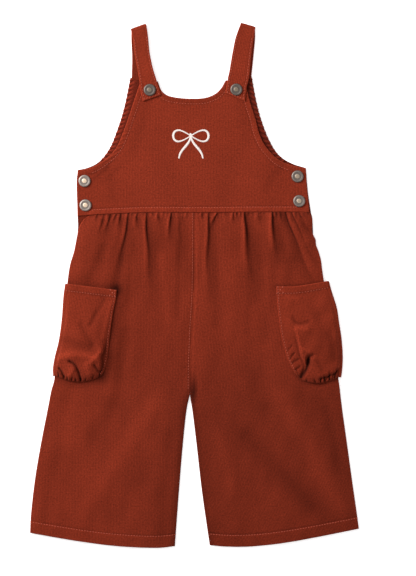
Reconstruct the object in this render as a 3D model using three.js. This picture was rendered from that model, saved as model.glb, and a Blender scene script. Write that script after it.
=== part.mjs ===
// Toddler overalls in fine corduroy, laid flat: wide cropped legs gathered on to a bib,
// straps folded over the shoulders and snapped to the bib, and bubble pockets round the sides.
// Millimetres. +X is the right of the garment as it lies, +Y runs from hems to straps,
// +Z is up from the surface that the back rests on.
import * as THREE from "three";

// Driving dimensions
const CLOTH = 1.4; // one layer of corduroy
const THIN_CLOTH = 1.0; // facing and placket, pressed flat
const STRAP_CLOTH = 2.0; // the strap is cloth turned double
const POCKET_CLOTH = 1.3;
const GAP = 0.3; // between pieces that touch
const HEM_DEPTH = 14.5; // hem edge to its stitch line
const HEM_BULK = 0.7; // what the turned-up layer adds
const BAND_DEPTH = 6.3; // bib edge to the topstitch above the waist seam
const BAND_BULK = 0.8; // the seam allowance under that band
const BAND_END = 22; // the band stops this far short of the bib's sides
const FACING_WIDTH = 20;
const PLACKET_WIDTH = 23;
const SNAP_DIAMETER = 15;

// Heights that follow from the layers
const ON_BACK = CLOTH + GAP; // underside of what lies on the back panels
const ON_FACING = ON_BACK + THIN_CLOTH + GAP; // underside of the bib
const ON_BIB = ON_FACING + CLOTH + GAP; // underside of what lies on the bib
const OVER_POCKET = POCKET_CLOTH + GAP; // the back leg steps up by this over the pocket's back half
const POCKET_TURN = (POCKET_CLOTH + 2 * ON_BACK + GAP) / 2; // mid-cloth radius round the side seam

// Softness of the cloth
const LEG_LOFT = 1.0; // the front leg stands off the back leg
const LOFT_REACH = 14; // over this width in from a folded edge
const BIB_CROWN = 1.1;
const GATHER_LIFT = 2.8; // gathers below the waist seam
const POCKET_PUFF = 2.6;
const TUCK_DEPTH = 0.9; // tucks in the pocket's gathered bottom

const RUST = 0x88321f;
const DARK_RUST = 0x742a1a;
const PEWTER = 0x8c8371;

// Outlines, each a short run of [x, y] points that a smooth curve passes through
const WAIST_SEAM = [[-147, 86.2], [-110, 88.5], [-56, 90.6], [0.5, 90.4], [86, 91.2], [148, 91.2]];
const CENTRE_SEAM = [[0.5, 90.4], [-0.5, -5], [-3.8, -66], [-5.2, -112], [-5.2, -137]];
const BIB = {
  sideLeft: [[-145.3, 86.3], [-146.4, 131], [-145, 143.3]],
  armholeLeft: [[-145, 143.3], [-128.3, 148], [-115.8, 155.3], [-103.4, 165.6], [-96, 175],
    [-88.9, 189.5], [-82.6, 207], [-76.4, 225.8], [-68, 250.5]],
  shoulderLeft: [[-68, 250.5], [-45, 254.4]],
  neck: [[-45, 254.4], [-40.5, 242.8], [-35, 237.8], [-26.6, 235], [-5.9, 232.8], [14.8, 234],
    [27.3, 239.3], [33.5, 245.4], [39.6, 255.8]],
  shoulderRight: [[39.6, 255.8], [64.4, 250.5]],
  armholeRight: [[139.8, 145.8], [118.5, 150.6], [106, 156.3], [95.6, 165.6], [86.4, 178],
    [81.1, 190.5], [77, 207], [70.4, 227.8], [64.4, 250.5]],
  sideRight: [[143.8, 91.2], [140.9, 124], [139.8, 145.8]],
};
const BACK_BIB = {
  sideLeft: [[-145.6, 86.3], [-146.2, 125], [-145.4, 143.9]],
  armholeLeft: [[-145.4, 143.9], [-135, 146], [-122.5, 151.4], [-113.8, 158.9], [-103.8, 173.9],
    [-95, 196.4], [-90, 211.4], [-85, 231.4], [-79.6, 258.9]],
  shoulderLeft: [[-79.6, 258.9], [-57, 257.4]],
  neck: [[-57, 257.4], [-50, 240], [-38, 230], [-5, 225.5], [25, 229], [44, 241], [50.5, 259.6]],
  shoulderRight: [[50.5, 259.6], [71.9, 261.4]],
  armholeRight: [[139.8, 146.4], [123.8, 151.4], [110, 158.9], [102.5, 166.4], [93.8, 181.4],
    [87.5, 196.4], [82.5, 211.4], [77.5, 231.4], [71.9, 261.4]],
  sideRight: [[146.3, 91.2], [142.6, 115], [139.8, 146.4]],
};
const LEGS = {
  left: {
    openingFront: [[-130.8, 87.1], [-138.4, 81.1], [-143.3, 72.3], [-145.9, 62]],
    openingBack: [[-145.4, 86.2], [-145, 73], [-145.9, 62]],
    side: [[-145.9, 62], [-150, 41.4], [-154.6, 26.4], [-157, 11.4], [-158.7, -5], [-162.4, -50],
      [-166.6, -80], [-169.2, -112], [-170.2, -119], [-177, -131], [-182.5, -153.6], [-191.3, -198.6],
      [-198.8, -243.6], [-203.8, -288.6], [-204.8, -309.5]],
    inseam: [[-5.2, -137], [-8.8, -153.6], [-13.8, -198.6], [-18.8, -258.6], [-23.8, -326]],
    hem: [[-204.8, -309.5], [-145.8, -319.5], [-102.8, -325.3], [-45.3, -328.1], [-23.8, -326]],
  },
  right: {
    openingFront: [[143.6, 91], [145.3, 77], [149.2, 62]],
    openingBack: [[146.3, 91], [147.5, 77], [149.2, 62]],
    side: [[149.2, 62], [153.8, 43], [158, 27], [161.3, 11.4], [168, -33.6], [175, -81],
      [181.3, -123.6], [185, -153.6], [191.3, -198.6], [197.5, -243.6], [203.4, -285], [206, -304.3]],
    inseam: [[-5.2, -137], [-2.5, -153.6], [2.5, -193.6], [10, -258.6], [19.6, -324.9]],
    hem: [[206, -304.3], [118.9, -320.9], [73.4, -326.3], [42, -326.6], [19.6, -324.9]],
  },
};

// Creases of the gathers: x where each leaves the waist seam, how far down it runs, how deep it is,
// and half its width
const CREASES = {
  left: [
    { x: -123, run: 14, depth: 2.2, half: 2.2 },
    { x: -116, run: 18, depth: 2.0, half: 2.2 },
    { x: -110, run: 16, depth: 2.4, half: 2.2 },
    { x: -99, run: 42, depth: 2.8, half: 3.0 },
    { x: -89.5, run: 14, depth: 1.8, half: 2.4 },
    { x: -82.5, run: 36, depth: 2.6, half: 2.8 },
    { x: -71, run: 20, depth: 2.2, half: 2.6 },
    { x: -60, run: 72, depth: 2.8, half: 3.2 },
    { x: -45, run: 16, depth: 1.4, half: 2.6 },
    { x: -29, run: 40, depth: 2.2, half: 3.0 },
    { x: -12, run: 14, depth: 1.2, half: 2.6 },
  ],
  right: [
    { x: 18.5, run: 70, depth: 1.8, half: 3.4 },
    { x: 28, run: 20, depth: 2.2, half: 2.6 },
    { x: 40, run: 12, depth: 1.2, half: 2.6 },
    { x: 49.8, run: 18, depth: 2.0, half: 2.2 },
    { x: 62, run: 74, depth: 2.8, half: 3.2 },
    { x: 81, run: 14, depth: 1.8, half: 2.6 },
    { x: 97, run: 70, depth: 2.8, half: 3.2 },
    { x: 106, run: 14, depth: 1.6, half: 2.2 },
    { x: 114.5, run: 56, depth: 2.6, half: 2.8 },
    { x: 123.5, run: 48, depth: 2.2, half: 2.6 },
    { x: 132.5, run: 26, depth: 2.0, half: 2.2 },
  ],
};

// Straps: edge points of each station, and the height of the underside there
const STRAPS = {
  left: {
    back: [
      { outer: [-77.9, 259.4], inner: [-57.9, 258.1], under: 0 },
      { outer: [-77.4, 285], inner: [-57.8, 285], under: 0 },
      { outer: [-78.3, 306], inner: [-59.4, 310], under: 0 },
    ],
    crease: { outer: [-79.3, 320], inner: [-60.3, 326.9] },
    front: [
      { outer: [-75.8, 305.1], inner: [-57.2, 309.5], under: 2.9 },
      { outer: [-73.9, 287.6], inner: [-55.3, 290.4], under: 2.6 },
      { outer: [-71, 273], inner: [-52.6, 276.5], under: 3.4 },
      { outer: [-69.2, 262], inner: [-49.9, 266], under: 4.4 },
      { outer: [-68, 254.5], inner: [-47.6, 259], under: ON_BIB },
      { outer: [-66.9, 244], inner: [-45.4, 250.3], under: ON_BIB },
      { outer: [-63.8, 229.3], inner: [-41.3, 237.1], under: ON_BIB },
    ],
  },
  right: {
    back: [
      { outer: [71.5, 262], inner: [51.4, 260.2], under: 0 },
      { outer: [74.6, 288], inner: [54.6, 288.5], under: 0 },
      { outer: [76.4, 308], inner: [56.9, 311.5], under: 0 },
    ],
    crease: { outer: [77.1, 322.5], inner: [58.7, 328] },
    front: [
      { outer: [73.9, 305], inner: [51.9, 308.9], under: 2.9 },
      { outer: [72, 291], inner: [48.7, 293.5], under: 2.6 },
      { outer: [70.3, 275], inner: [45.9, 277.5], under: 3.4 },
      { outer: [69.1, 264], inner: [44.1, 266.5], under: 4.4 },
      { outer: [68, 256], inner: [42.5, 259.5], under: ON_BIB },
      { outer: [65.2, 245], inner: [41.2, 251], under: ON_BIB },
      { outer: [63.5, 229.3], inner: [39.1, 239.4], under: ON_BIB },
    ],
  },
};

// Pockets: the half that lies on the front, with the places of the tucks along its bottom,
// counted from the stitched edge (0) to the side (1)
const POCKETS = {
  left: {
    top: [[-96.4, -6.1], [-128, -2], [-160.9, 1.6]],
    stitched: [[-96.4, -6.1], [-97.6, -17.4], [-101.1, -34.6], [-105, -62.4], [-107.9, -91.1],
      [-110.8, -103.6], [-115.5, -113.1]],
    bottom: [[-115.5, -113.1], [-128.9, -118.9], [-141.3, -120.8], [-157.5, -118.9], [-176, -113.6]],
    side: [[-160.9, 1.6], [-162.9, -12.4], [-165.3, -43.3], [-169, -69.9], [-173.9, -89.9],
      [-176.2, -104], [-176, -113.6]],
    tucks: [0.1, 0.24, 0.36, 0.48, 0.59, 0.69, 0.79, 0.9],
  },
  right: {
    top: [[102.6, -1.6], [128, -1.1], [168.6, 5]],
    stitched: [[102.6, -1.6], [103.6, -19.4], [105.5, -38.5], [108.4, -60.5], [112.6, -78.6],
      [117.5, -94], [125.1, -109.3]],
    bottom: [[125.1, -109.3], [134.6, -117.9], [146.1, -121.8], [157.6, -122.3], [170, -118.9],
      [183.9, -115]],
    side: [[168.6, 5], [171.5, -6], [178.6, -29], [181.5, -48.1], [184.4, -67.3], [185.9, -91.1],
      [185, -107], [183.9, -115]],
    tucks: [0.08, 0.19, 0.3, 0.43, 0.58, 0.72, 0.83, 0.92],
  },
};

const SNAPS = [
  { name: "snap_strap_left", at: [-55.2, 243.3], seat: ON_BIB + STRAP_CLOTH },
  { name: "snap_strap_right", at: [52.8, 243.8], seat: ON_BIB + STRAP_CLOTH },
  { name: "snap_side_left_upper", at: [-136.6, 130], seat: ON_FACING + CLOTH },
  { name: "snap_side_left_lower", at: [-135.4, 99.6], seat: ON_FACING + CLOTH },
  { name: "snap_side_right_upper", at: [129.1, 135.6], seat: ON_FACING + CLOTH },
  { name: "snap_side_right_lower", at: [131.2, 104.9], seat: ON_FACING + CLOTH },
];

// Where things happen along an edge, as shares of it
const BIB_SIDE_LENGTH = 57;
const BIB_CORNER = 0.3; // the armhole begins here along the side of a bib
const SHOULDER = 0.16; // the part of the bib's top edge under each strap
const BAND_EDGE = (BIB_CORNER * BAND_DEPTH) / BIB_SIDE_LENGTH;
const LEG_LENGTH = 417;
const OPENING_END = 0.06; // the side opening ends here along a leg
const CROTCH = 0.548; // the inseam begins here
const HEM_EDGE = 1 - HEM_DEPTH / LEG_LENGTH;
const POCKET_ZONE = { above: 0.15, top: 0.185, bottom: CROTCH, below: 0.59, inner: 0.43, beyond: 0.5 };
const STEP = 0.003; // half the width of a step in thickness

// Rows and columns of the walls, closest where the cloth bends most
const BIB_ROWS = [0, BAND_EDGE - STEP, BAND_EDGE + STEP, 0.12, 0.21, BIB_CORNER, 0.36, 0.43, 0.5, 0.58,
  0.66, 0.74, 0.82, 0.91, 1];
const BIB_COLUMNS = [0, 0.05, 0.1, SHOULDER, 0.19, 0.225, 0.27, 0.33, 0.4, 0.47, 0.53, 0.6, 0.67,
  0.73, 0.775, 0.81, 1 - SHOULDER, 0.9, 0.95, 1];
const BACK_BIB_ROWS = [0, 0.15, BIB_CORNER, 0.36, 0.42, 0.5, 0.6, 0.7, 0.8, 0.9, 1];
const BACK_BIB_COLUMNS = [0, 0.08, SHOULDER, 0.22, 0.28, 0.36, 0.5, 0.64, 0.72, 0.78, 1 - SHOULDER,
  0.92, 1];
const LEG_ROWS = [0, 0.01, 0.022, 0.04, OPENING_END, 0.092, 0.125, POCKET_ZONE.above, POCKET_ZONE.top,
  0.27, 0.36, 0.46, 0.515, CROTCH, POCKET_ZONE.below, 0.68, 0.78, 0.88, HEM_EDGE - STEP,
  HEM_EDGE + STEP, 1];
const BACK_LEG_ROWS = [0, 0.03, OPENING_END, 0.1, POCKET_ZONE.above, POCKET_ZONE.top, 0.27, 0.36, 0.46,
  0.515, CROTCH, POCKET_ZONE.below, 0.68, 0.78, 0.88, 1];
const BACK_LEG_COLUMNS = [0, 0.06, 0.2, 0.32, POCKET_ZONE.inner, POCKET_ZONE.beyond, 0.75, 1];
const POCKET_ROWS = [0, 0.045, 0.1, 0.2, 0.32, 0.44, 0.56, 0.67, 0.77, 0.86, 0.93, 0.975, 1];
const STRAP_COLUMNS = [0, 0.1, 0.5, 0.9, 1];

// Numbers and curves
const clamp01 = (t) => Math.min(Math.max(t, 0), 1);
const mix = (a, b, t) => a + (b - a) * t;
function ease(from, to, value) {
  return THREE.MathUtils.smoothstep(value, from, to);
}
function evenly(count) {
  return Array.from({ length: count + 1 }, (_, i) => i / count);
}
// 0 at a folded edge, rising to 1 at the given reach from it, round like cloth
function roundOver(distance, reach) {
  return 1 - (1 - clamp01(distance / reach)) ** 2;
}
function smooth(points) {
  return new THREE.CatmullRomCurve3(points.map(([x, y]) => new THREE.Vector3(x, y, 0)));
}
// An edge made of stretches that meet at corners; each ends at its own share of the edge
function edge(...stretches) {
  const curves = stretches.map(({ to, through }) => ({ to, curve: smooth(through) }));
  return (share) => {
    let from = 0;
    for (const { to, curve } of curves) {
      if (share <= to) return curve.getPointAt(clamp01((share - from) / (to - from)));
      from = to;
    }
    return curves.at(-1).curve.getPointAt(1);
  };
}
const waist = smooth(WAIST_SEAM);
// A stretch of the waist seam from one x to another, moved down by drop
function waistEdge(fromX, toX, drop) {
  const heights = waist.getSpacedPoints(200);
  return (share) => {
    const x = mix(fromX, toX, share);
    const next = heights.findIndex((p) => p.x > x);
    const [a, b] = [heights[next - 1], heights[next]];
    return new THREE.Vector3(x, mix(a.y, b.y, (x - a.x) / (b.x - a.x)) - drop, 0);
  };
}
// Flat position inside four edges: u runs along bottom and top, v along left and right
function patch({ bottom, top, left, right }) {
  const corners = [bottom(0), bottom(1), top(0), top(1)];
  return (u, v) => {
    const [b, t, l, r] = [bottom(u), top(u), left(v), right(v)];
    const between = (key) =>
      mix(b[key], t[key], v) + mix(l[key], r[key], u) -
      mix(mix(corners[0][key], corners[1][key], u), mix(corners[2][key], corners[3][key], u), v);
    return new THREE.Vector3(between("x"), between("y"), 0);
  };
}

// Walls of cloth
function gridNormals(rows) {
  const at = (i, j) => rows[Math.min(Math.max(i, 0), rows.length - 1)][
    Math.min(Math.max(j, 0), rows[0].length - 1)];
  return rows.map((row, i) => row.map((_, j) => {
    const along = at(i, j + 1).clone().sub(at(i, j - 1));
    const down = at(i + 1, j).clone().sub(at(i - 1, j));
    return along.cross(down).normalize();
  }));
}
function shellTriangles(rowCount, columnCount) {
  const triangles = [];
  const layer = rowCount * columnCount;
  const id = (i, j) => i * columnCount + j;
  const quad = (a, b, c, d) => triangles.push(a, b, c, a, c, d);
  for (let i = 0; i + 1 < rowCount; i += 1) {
    for (let j = 0; j + 1 < columnCount; j += 1) {
      const [a, b, c, d] = [id(i, j), id(i, j + 1), id(i + 1, j + 1), id(i + 1, j)];
      quad(a, b, c, d);
      triangles.push(layer + a, layer + c, layer + b, layer + a, layer + d, layer + c);
    }
  }
  const rim = (a, b) => quad(b, a, layer + a, layer + b);
  for (let j = 0; j + 1 < columnCount; j += 1) {
    rim(id(0, j), id(0, j + 1));
    rim(id(rowCount - 1, j + 1), id(rowCount - 1, j));
  }
  for (let i = 0; i + 1 < rowCount; i += 1) {
    rim(id(i + 1, 0), id(i, 0));
    rim(id(i, columnCount - 1), id(i + 1, columnCount - 1));
  }
  return triangles;
}
function enclosedVolume(points, triangles) {
  let volume = 0;
  for (let k = 0; k < triangles.length; k += 3) {
    const [a, b, c] = [points[triangles[k]], points[triangles[k + 1]], points[triangles[k + 2]]];
    volume += a.dot(b.clone().cross(c)) / 6;
  }
  return volume;
}
// The closed solid between two like grids of points
function solidBetween(name, faceA, faceB, color) {
  const points = [...faceA.flat(), ...faceB.flat()];
  const triangles = shellTriangles(faceA.length, faceA[0].length);
  if (enclosedVolume(points, triangles) < 0) triangles.reverse();
  const geometry = new THREE.BufferGeometry().setFromPoints(points);
  geometry.setIndex(triangles);
  geometry.computeVertexNormals();
  return clothMesh(name, geometry, color);
}
function clothMesh(name, geometry, color) {
  const material = new THREE.MeshStandardMaterial({ color, roughness: 0.95, metalness: 0 });
  const mesh = new THREE.Mesh(geometry, material);
  mesh.name = name;
  return mesh;
}
// Cloth over an underside given as a height, kept at its full thickness on slopes
function layWall(name, { place, columns, rows, under, thickness, color = RUST }) {
  const lower = rows.map((v) => columns.map((u) => {
    const point = place(u, v);
    point.z = under(u, v, point);
    return point;
  }));
  const normals = gridNormals(lower);
  const upper = lower.map((row, i) => row.map((point, j) => {
    const rise = thickness(columns[j], rows[i], point) / Math.max(Math.abs(normals[i][j].z), 0.6);
    return new THREE.Vector3(point.x, point.y, point.z + rise);
  }));
  return solidBetween(name, lower, upper, color);
}
// Cloth that turns over on itself, half its thickness to each side of a mid surface
function wrapWall(name, middle, thickness, color = RUST) {
  const normals = gridNormals(middle);
  const offset = (side) => middle.map((row, i) => row.map((point, j) =>
    point.clone().addScaledVector(normals[i][j], side * thickness(j) / 2)));
  return solidBetween(name, offset(1), offset(-1), color);
}

// Bibs
function bibPlace(outline, bottom) {
  const sides = (side, armhole) =>
    edge({ to: BIB_CORNER, through: side }, { to: 1, through: armhole });
  return patch({
    bottom,
    top: edge({ to: SHOULDER, through: outline.shoulderLeft },
      { to: 1 - SHOULDER, through: outline.neck }, { to: 1, through: outline.shoulderRight }),
    left: sides(outline.sideLeft, outline.armholeLeft),
    right: sides(outline.sideRight, outline.armholeRight),
  });
}
function frontBib() {
  const [left, right] = [BIB.sideLeft[0][0], BIB.sideRight[0][0]];
  const crown = (x, y) => BIB_CROWN * ease(18, 60, x - left) * ease(18, 60, right - x) *
    (1 - ease(170, 225, y)) * ease(95, 125, y);
  const inBand = (x, v) => v < BAND_EDGE && x > left + BAND_END && x < right - BAND_END;
  return layWall("front_bib", {
    place: bibPlace(BIB, waistEdge(left, right, 0)),
    columns: BIB_COLUMNS,
    rows: BIB_ROWS,
    under: (u, v, { x, y }) => ON_FACING + crown(x, y),
    thickness: (u, v, { x }) => CLOTH + (inBand(x, v) ? BAND_BULK : 0),
  });
}
function backBib() {
  const [left, right] = [BACK_BIB.sideLeft[0][0], BACK_BIB.sideRight[0][0]];
  return layWall("back_bib", {
    place: bibPlace(BACK_BIB, waistEdge(left, right, 0)),
    columns: BACK_BIB_COLUMNS,
    rows: BACK_BIB_ROWS,
    under: () => 0,
    thickness: () => CLOTH,
    color: DARK_RUST,
  });
}
// The facing along the back armhole, seen inside the front one
function facing(side) {
  const armhole = smooth(BACK_BIB[side === "left" ? "armholeLeft" : "armholeRight"]);
  const inward = side === "left" ? -1 : 1;
  const [start, end] = [0.2, 0.99];
  const place = (u, v) => {
    const share = mix(start, end, v);
    const along = armhole.getTangentAt(share);
    const across = new THREE.Vector3(-along.y, along.x, 0).multiplyScalar(inward);
    return armhole.getPointAt(share).addScaledVector(across, GAP + u * FACING_WIDTH);
  };
  return layWall(`facing_${side}`, {
    place, columns: evenly(2), rows: evenly(12),
    under: () => ON_BACK, thickness: () => THIN_CLOTH, color: DARK_RUST,
  });
}
// The underlap of the side opening, which carries the snap studs and shows below the waist seam
function placket(side) {
  const legs = LEGS[side];
  const bib = side === "left" ? BACK_BIB.sideLeft : BACK_BIB.sideRight;
  const inward = side === "left" ? 1 : -1;
  const top = bib.at(-1);
  const outer = smooth([legs.openingBack.at(-1), legs.openingBack[1], bib[0], bib[1], top]);
  const place = (u, v) => {
    const point = outer.getPointAt(v * 0.985);
    point.x += inward * (GAP + u * PLACKET_WIDTH);
    return point;
  };
  return layWall(`placket_${side}`, {
    place, columns: evenly(2), rows: evenly(8),
    under: () => ON_BACK, thickness: () => THIN_CLOTH, color: DARK_RUST,
  });
}

// Legs, with u from the side (0) to the centre (1) and v from the waist (0) to the hem (1)
function legPlace(side, opening) {
  const outline = LEGS[side];
  const shift = side === "left" ? -GAP / 2 : GAP / 2;
  const moved = (points) => points.map(([x, y]) => [x + shift, y]);
  const hem = smooth(outline.hem);
  return patch({
    bottom: waistEdge(opening[0][0], CENTRE_SEAM[0][0] + shift, GAP),
    top: (share) => hem.getPointAt(share),
    left: edge({ to: OPENING_END, through: [waistEdge(opening[0][0], 0, GAP)(0).toArray(),
      ...opening.slice(1)] }, { to: 1, through: outline.side }),
    right: edge({ to: CROTCH, through: moved([[CENTRE_SEAM[0][0], CENTRE_SEAM[0][1] - GAP],
      ...CENTRE_SEAM.slice(1)]) }, { to: 1, through: moved(outline.inseam) }),
  });
}
// 1 where the pocket's back half lies under the leg, falling to 0 around it
function overPocket(u, v) {
  const { above, top, bottom, below, inner, beyond } = POCKET_ZONE;
  const across = 1 - clamp01((u - inner) / (beyond - inner));
  const down = Math.min(clamp01((v - above) / (top - above)), 1 - clamp01((v - bottom) / (below - bottom)));
  return across * down;
}
function backLeg(side) {
  return layWall(`back_leg_${side}`, {
    place: legPlace(side, LEGS[side].openingBack),
    columns: BACK_LEG_COLUMNS,
    rows: BACK_LEG_ROWS,
    under: (u, v) => OVER_POCKET * overPocket(u, v),
    thickness: () => CLOTH,
    color: DARK_RUST,
  });
}
function creaseShares(side) {
  const from = LEGS[side].openingFront[0][0];
  const width = CENTRE_SEAM[0][0] - from;
  return CREASES[side].map(({ x, run, depth, half }) =>
    ({ at: (x - from) / width, half: half / Math.abs(width), run, depth }));
}
// Columns on each crease and beside it, and others where they would lie far apart
function gatherColumns(creases) {
  const wanted = [0, 0.012, 0.03, 0.97, 0.988, 1];
  for (const { at, half } of creases) wanted.push(at - half, at, at + half);
  wanted.sort((a, b) => a - b);
  const columns = [0];
  for (const share of wanted) {
    const last = columns.at(-1);
    if (share - last > 0.085) columns.push(mix(last, share, 0.5));
    if (share - columns.at(-1) > 0.009 && share <= 1) columns.push(share);
  }
  columns[columns.length - 1] = 1;
  return columns;
}
function gatherHeight(creases, u, v) {
  const down = v * LEG_LENGTH;
  let height = GATHER_LIFT * ease(0, 10, down) * (1 - ease(14, 84, down));
  for (const { at, half, run, depth } of creases) {
    const near = clamp01(1 - Math.abs(u - at) / half);
    height -= depth * near * near * ease(-4, 10, down) * (1 - ease(run * 0.4, run, down));
  }
  return Math.max(height, 0);
}
function frontLeg(side) {
  const creases = creaseShares(side);
  const place = legPlace(side, LEGS[side].openingFront);
  const width = (v) => place(0, v).distanceTo(place(1, v));
  return layWall(`front_leg_${side}`, {
    place,
    columns: gatherColumns(creases),
    rows: LEG_ROWS,
    under: (u, v) => {
      const fromEdge = Math.min(u, 1 - u) * width(v);
      const seamBulk = (ON_FACING - ON_BACK) * (1 - ease(26, 52, v * LEG_LENGTH));
      return ON_BACK + OVER_POCKET * overPocket(u, v) + seamBulk +
        LEG_LOFT * roundOver(fromEdge, LOFT_REACH) * ease(0, 20, v * LEG_LENGTH) +
        gatherHeight(creases, u, v);
    },
    thickness: (u, v) => CLOTH + (v > HEM_EDGE ? HEM_BULK : 0),
  });
}

// Straps: up from the back bib, over the shoulder fold and down on to the bib
function strap(side) {
  const { back, crease, front } = STRAPS[side];
  const half = STRAP_CLOTH / 2;
  const flat = ([x, y]) => new THREE.Vector3(x, y, 0);
  const station = ({ outer, inner, under }) =>
    ({ outer: flat(outer).setZ(under + half), inner: flat(inner).setZ(under + half) });
  const [low, high] = [back.at(-1).under + half, front[0].under + half];
  const radius = (high - low) / 2;
  const creaseLine = flat(crease.inner).sub(flat(crease.outer)).normalize();
  const away = new THREE.Vector3(-creaseLine.y, creaseLine.x, 0);
  if (away.y < 0) away.negate();
  const turn = evenly(6).map((share) => {
    const angle = Math.PI * (share - 0.5);
    const move = (point) => flat(point)
      .addScaledVector(away, radius * Math.cos(angle) - radius - half)
      .setZ((low + high) / 2 + radius * Math.sin(angle));
    return { outer: move(crease.outer), inner: move(crease.inner) };
  });
  const stations = [...back.map(station), ...turn, ...front.map(station)];
  const middle = stations.map(({ outer, inner }) =>
    STRAP_COLUMNS.map((u) => outer.clone().lerp(inner, u)));
  const rolled = (j) => (j === 0 || j === STRAP_COLUMNS.length - 1 ? 0.7 : 1) * STRAP_CLOTH;
  return wrapWall(`strap_${side}`, middle, rolled);
}

// How far the pocket's front stands off the leg: full in the middle, with tucks along the bottom
function pocketPuff(tucks, u, v) {
  const domed = Math.sin(Math.PI * clamp01(u)) ** 0.7;
  const puff = POCKET_PUFF * domed * mix(0.25, 1, ease(0.02, 0.5, v)) * (1 - ease(0.8, 1, v) ** 2);
  const gathered = ease(0.72, 0.93, v) * (1 - 0.5 * ease(0.93, 1, v)) * Math.sqrt(domed);
  const tuck = TUCK_DEPTH * gathered * (tucks.includes(u) ? -0.35 : 0.65);
  return u === 1 ? 0 : Math.max(puff + tuck, 0);
}
// Pockets: from the stitched edge over the front, round the side seam and back under the leg
function pocket(side) {
  const outline = POCKETS[side];
  const { tucks } = outline;
  const outward = side === "left" ? -1 : 1;
  const half = POCKET_CLOTH / 2;
  const inset = POCKET_TURN + half;
  const shortOf = ([x, y]) => [x - outward * inset, y];
  const place = patch({
    bottom: edge({ to: 1, through: [...outline.top.slice(0, -1), shortOf(outline.top.at(-1))] }),
    top: edge({ to: 1, through: [...outline.bottom.slice(0, -1), shortOf(outline.bottom.at(-1))] }),
    left: edge({ to: 1, through: outline.stitched }),
    right: edge({ to: 1, through: outline.side.map(shortOf) }),
  });
  const columns = [0, ...tucks.flatMap((at, k) => [at, mix(at, tucks[k + 1] ?? 1, 0.5)]), 1];
  const middle = POCKET_ROWS.map((v) => {
    const turnAt = place(1, v);
    const onFront = columns.map((u) => {
      const point = place(u, v);
      const fromSide = u === 1 ? 0 : Math.abs(turnAt.x - point.x) + inset;
      const loft = LEG_LOFT * Math.max(roundOver(fromSide, LOFT_REACH), 0.2);
      return point.setZ(half + 2 * POCKET_TURN + loft + pocketPuff(tucks, u, v));
    });
    const aroundSide = [0.25, 0, -0.25, -0.5].map((share) => {
      const angle = Math.PI * share;
      return new THREE.Vector3(turnAt.x + outward * POCKET_TURN * Math.cos(angle), turnAt.y,
        half + POCKET_TURN * (1 + Math.sin(angle)));
    });
    const onBack = [0.75, 0.4, 0].map((u) => place(u, v).setZ(half));
    return [...onFront, ...aroundSide, ...onBack];
  });
  return wrapWall(`pocket_${side}`, middle, () => POCKET_CLOTH);
}

// Snap caps: a domed rim round a sunk ring, with a raised disc in the middle
const SNAP_PROFILE = [[0, 0], [0.92, 0], [1, 0.45], [0.97, 1.0], [0.87, 1.6], [0.75, 1.8],
  [0.66, 1.4], [0.44, 1.25], [0.38, 1.75], [0.28, 1.95], [0, 2.0]];
function snapCap({ name, at, seat }) {
  const radius = SNAP_DIAMETER / 2;
  const profile = SNAP_PROFILE.map(([r, z]) => new THREE.Vector2(r * radius, z));
  const geometry = new THREE.LatheGeometry(profile, 16);
  geometry.rotateX(Math.PI / 2);
  const material = new THREE.MeshStandardMaterial({ color: PEWTER, roughness: 0.4, metalness: 0.9 });
  const mesh = new THREE.Mesh(geometry, material);
  mesh.name = name;
  mesh.position.set(at[0], at[1], seat + GAP);
  return mesh;
}

// The garment, with its origin under the middle of its outline
const overalls = new THREE.Group();
overalls.add(backBib(), frontBib());
for (const side of ["left", "right"]) {
  overalls.add(facing(side), placket(side), backLeg(side), frontLeg(side), strap(side), pocket(side));
}
overalls.add(...SNAPS.map(snapCap));
const extent = new THREE.Box3().setFromObject(overalls);
const centre = extent.getCenter(new THREE.Vector3());
overalls.position.set(-centre.x, -centre.y, -extent.min.z);

export default overalls;
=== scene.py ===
import math
import bpy
import numpy as np
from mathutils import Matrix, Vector
from mathutils.bvhtree import BVHTree


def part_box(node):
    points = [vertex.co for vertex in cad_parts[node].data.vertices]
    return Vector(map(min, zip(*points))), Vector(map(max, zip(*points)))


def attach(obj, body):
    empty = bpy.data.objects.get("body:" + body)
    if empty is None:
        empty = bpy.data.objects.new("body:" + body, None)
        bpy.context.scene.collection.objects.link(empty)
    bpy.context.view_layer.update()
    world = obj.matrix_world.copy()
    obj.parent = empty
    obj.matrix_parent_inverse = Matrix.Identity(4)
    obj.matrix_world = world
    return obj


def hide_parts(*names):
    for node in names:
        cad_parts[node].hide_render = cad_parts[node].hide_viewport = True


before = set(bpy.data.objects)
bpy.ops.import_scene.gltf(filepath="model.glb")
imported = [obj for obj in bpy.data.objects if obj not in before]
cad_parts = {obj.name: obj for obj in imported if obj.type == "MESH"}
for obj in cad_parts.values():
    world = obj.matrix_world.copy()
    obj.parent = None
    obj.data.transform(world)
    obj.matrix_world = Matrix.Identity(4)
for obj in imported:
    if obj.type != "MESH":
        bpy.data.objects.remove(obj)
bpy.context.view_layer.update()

scene = bpy.context.scene

# Surface, light and camera
# The overalls lie front up on a white table, lit softly from the upper left.
# The camera looks straight down from a distance and takes in 520 by 720 mm.
MM = 0.001
VIEW_HEIGHT = 0.720
VIEW_CENTRE = (16.9 * MM, -3.4 * MM)
CAMERA_HEIGHT = 2.6
SENSOR = 36.0
TABLE_SIZE = 6.0
TABLE_GLOW = 0.50


def nodes_for(material):
    material.use_nodes = True
    material.node_tree.nodes.clear()
    return material.node_tree


def node(tree, kind, inputs=None, **settings):
    made = tree.nodes.new(kind)
    for key, value in settings.items():
        setattr(made, key, value)
    for key, value in (inputs or {}).items():
        if isinstance(value, bpy.types.NodeSocket):
            tree.links.new(value, made.inputs[key])
        else:
            made.inputs[key].default_value = value
    return made


def maths(tree, operation, *values):
    return node(tree, "ShaderNodeMath", dict(enumerate(values)), operation=operation).outputs[0]


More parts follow.
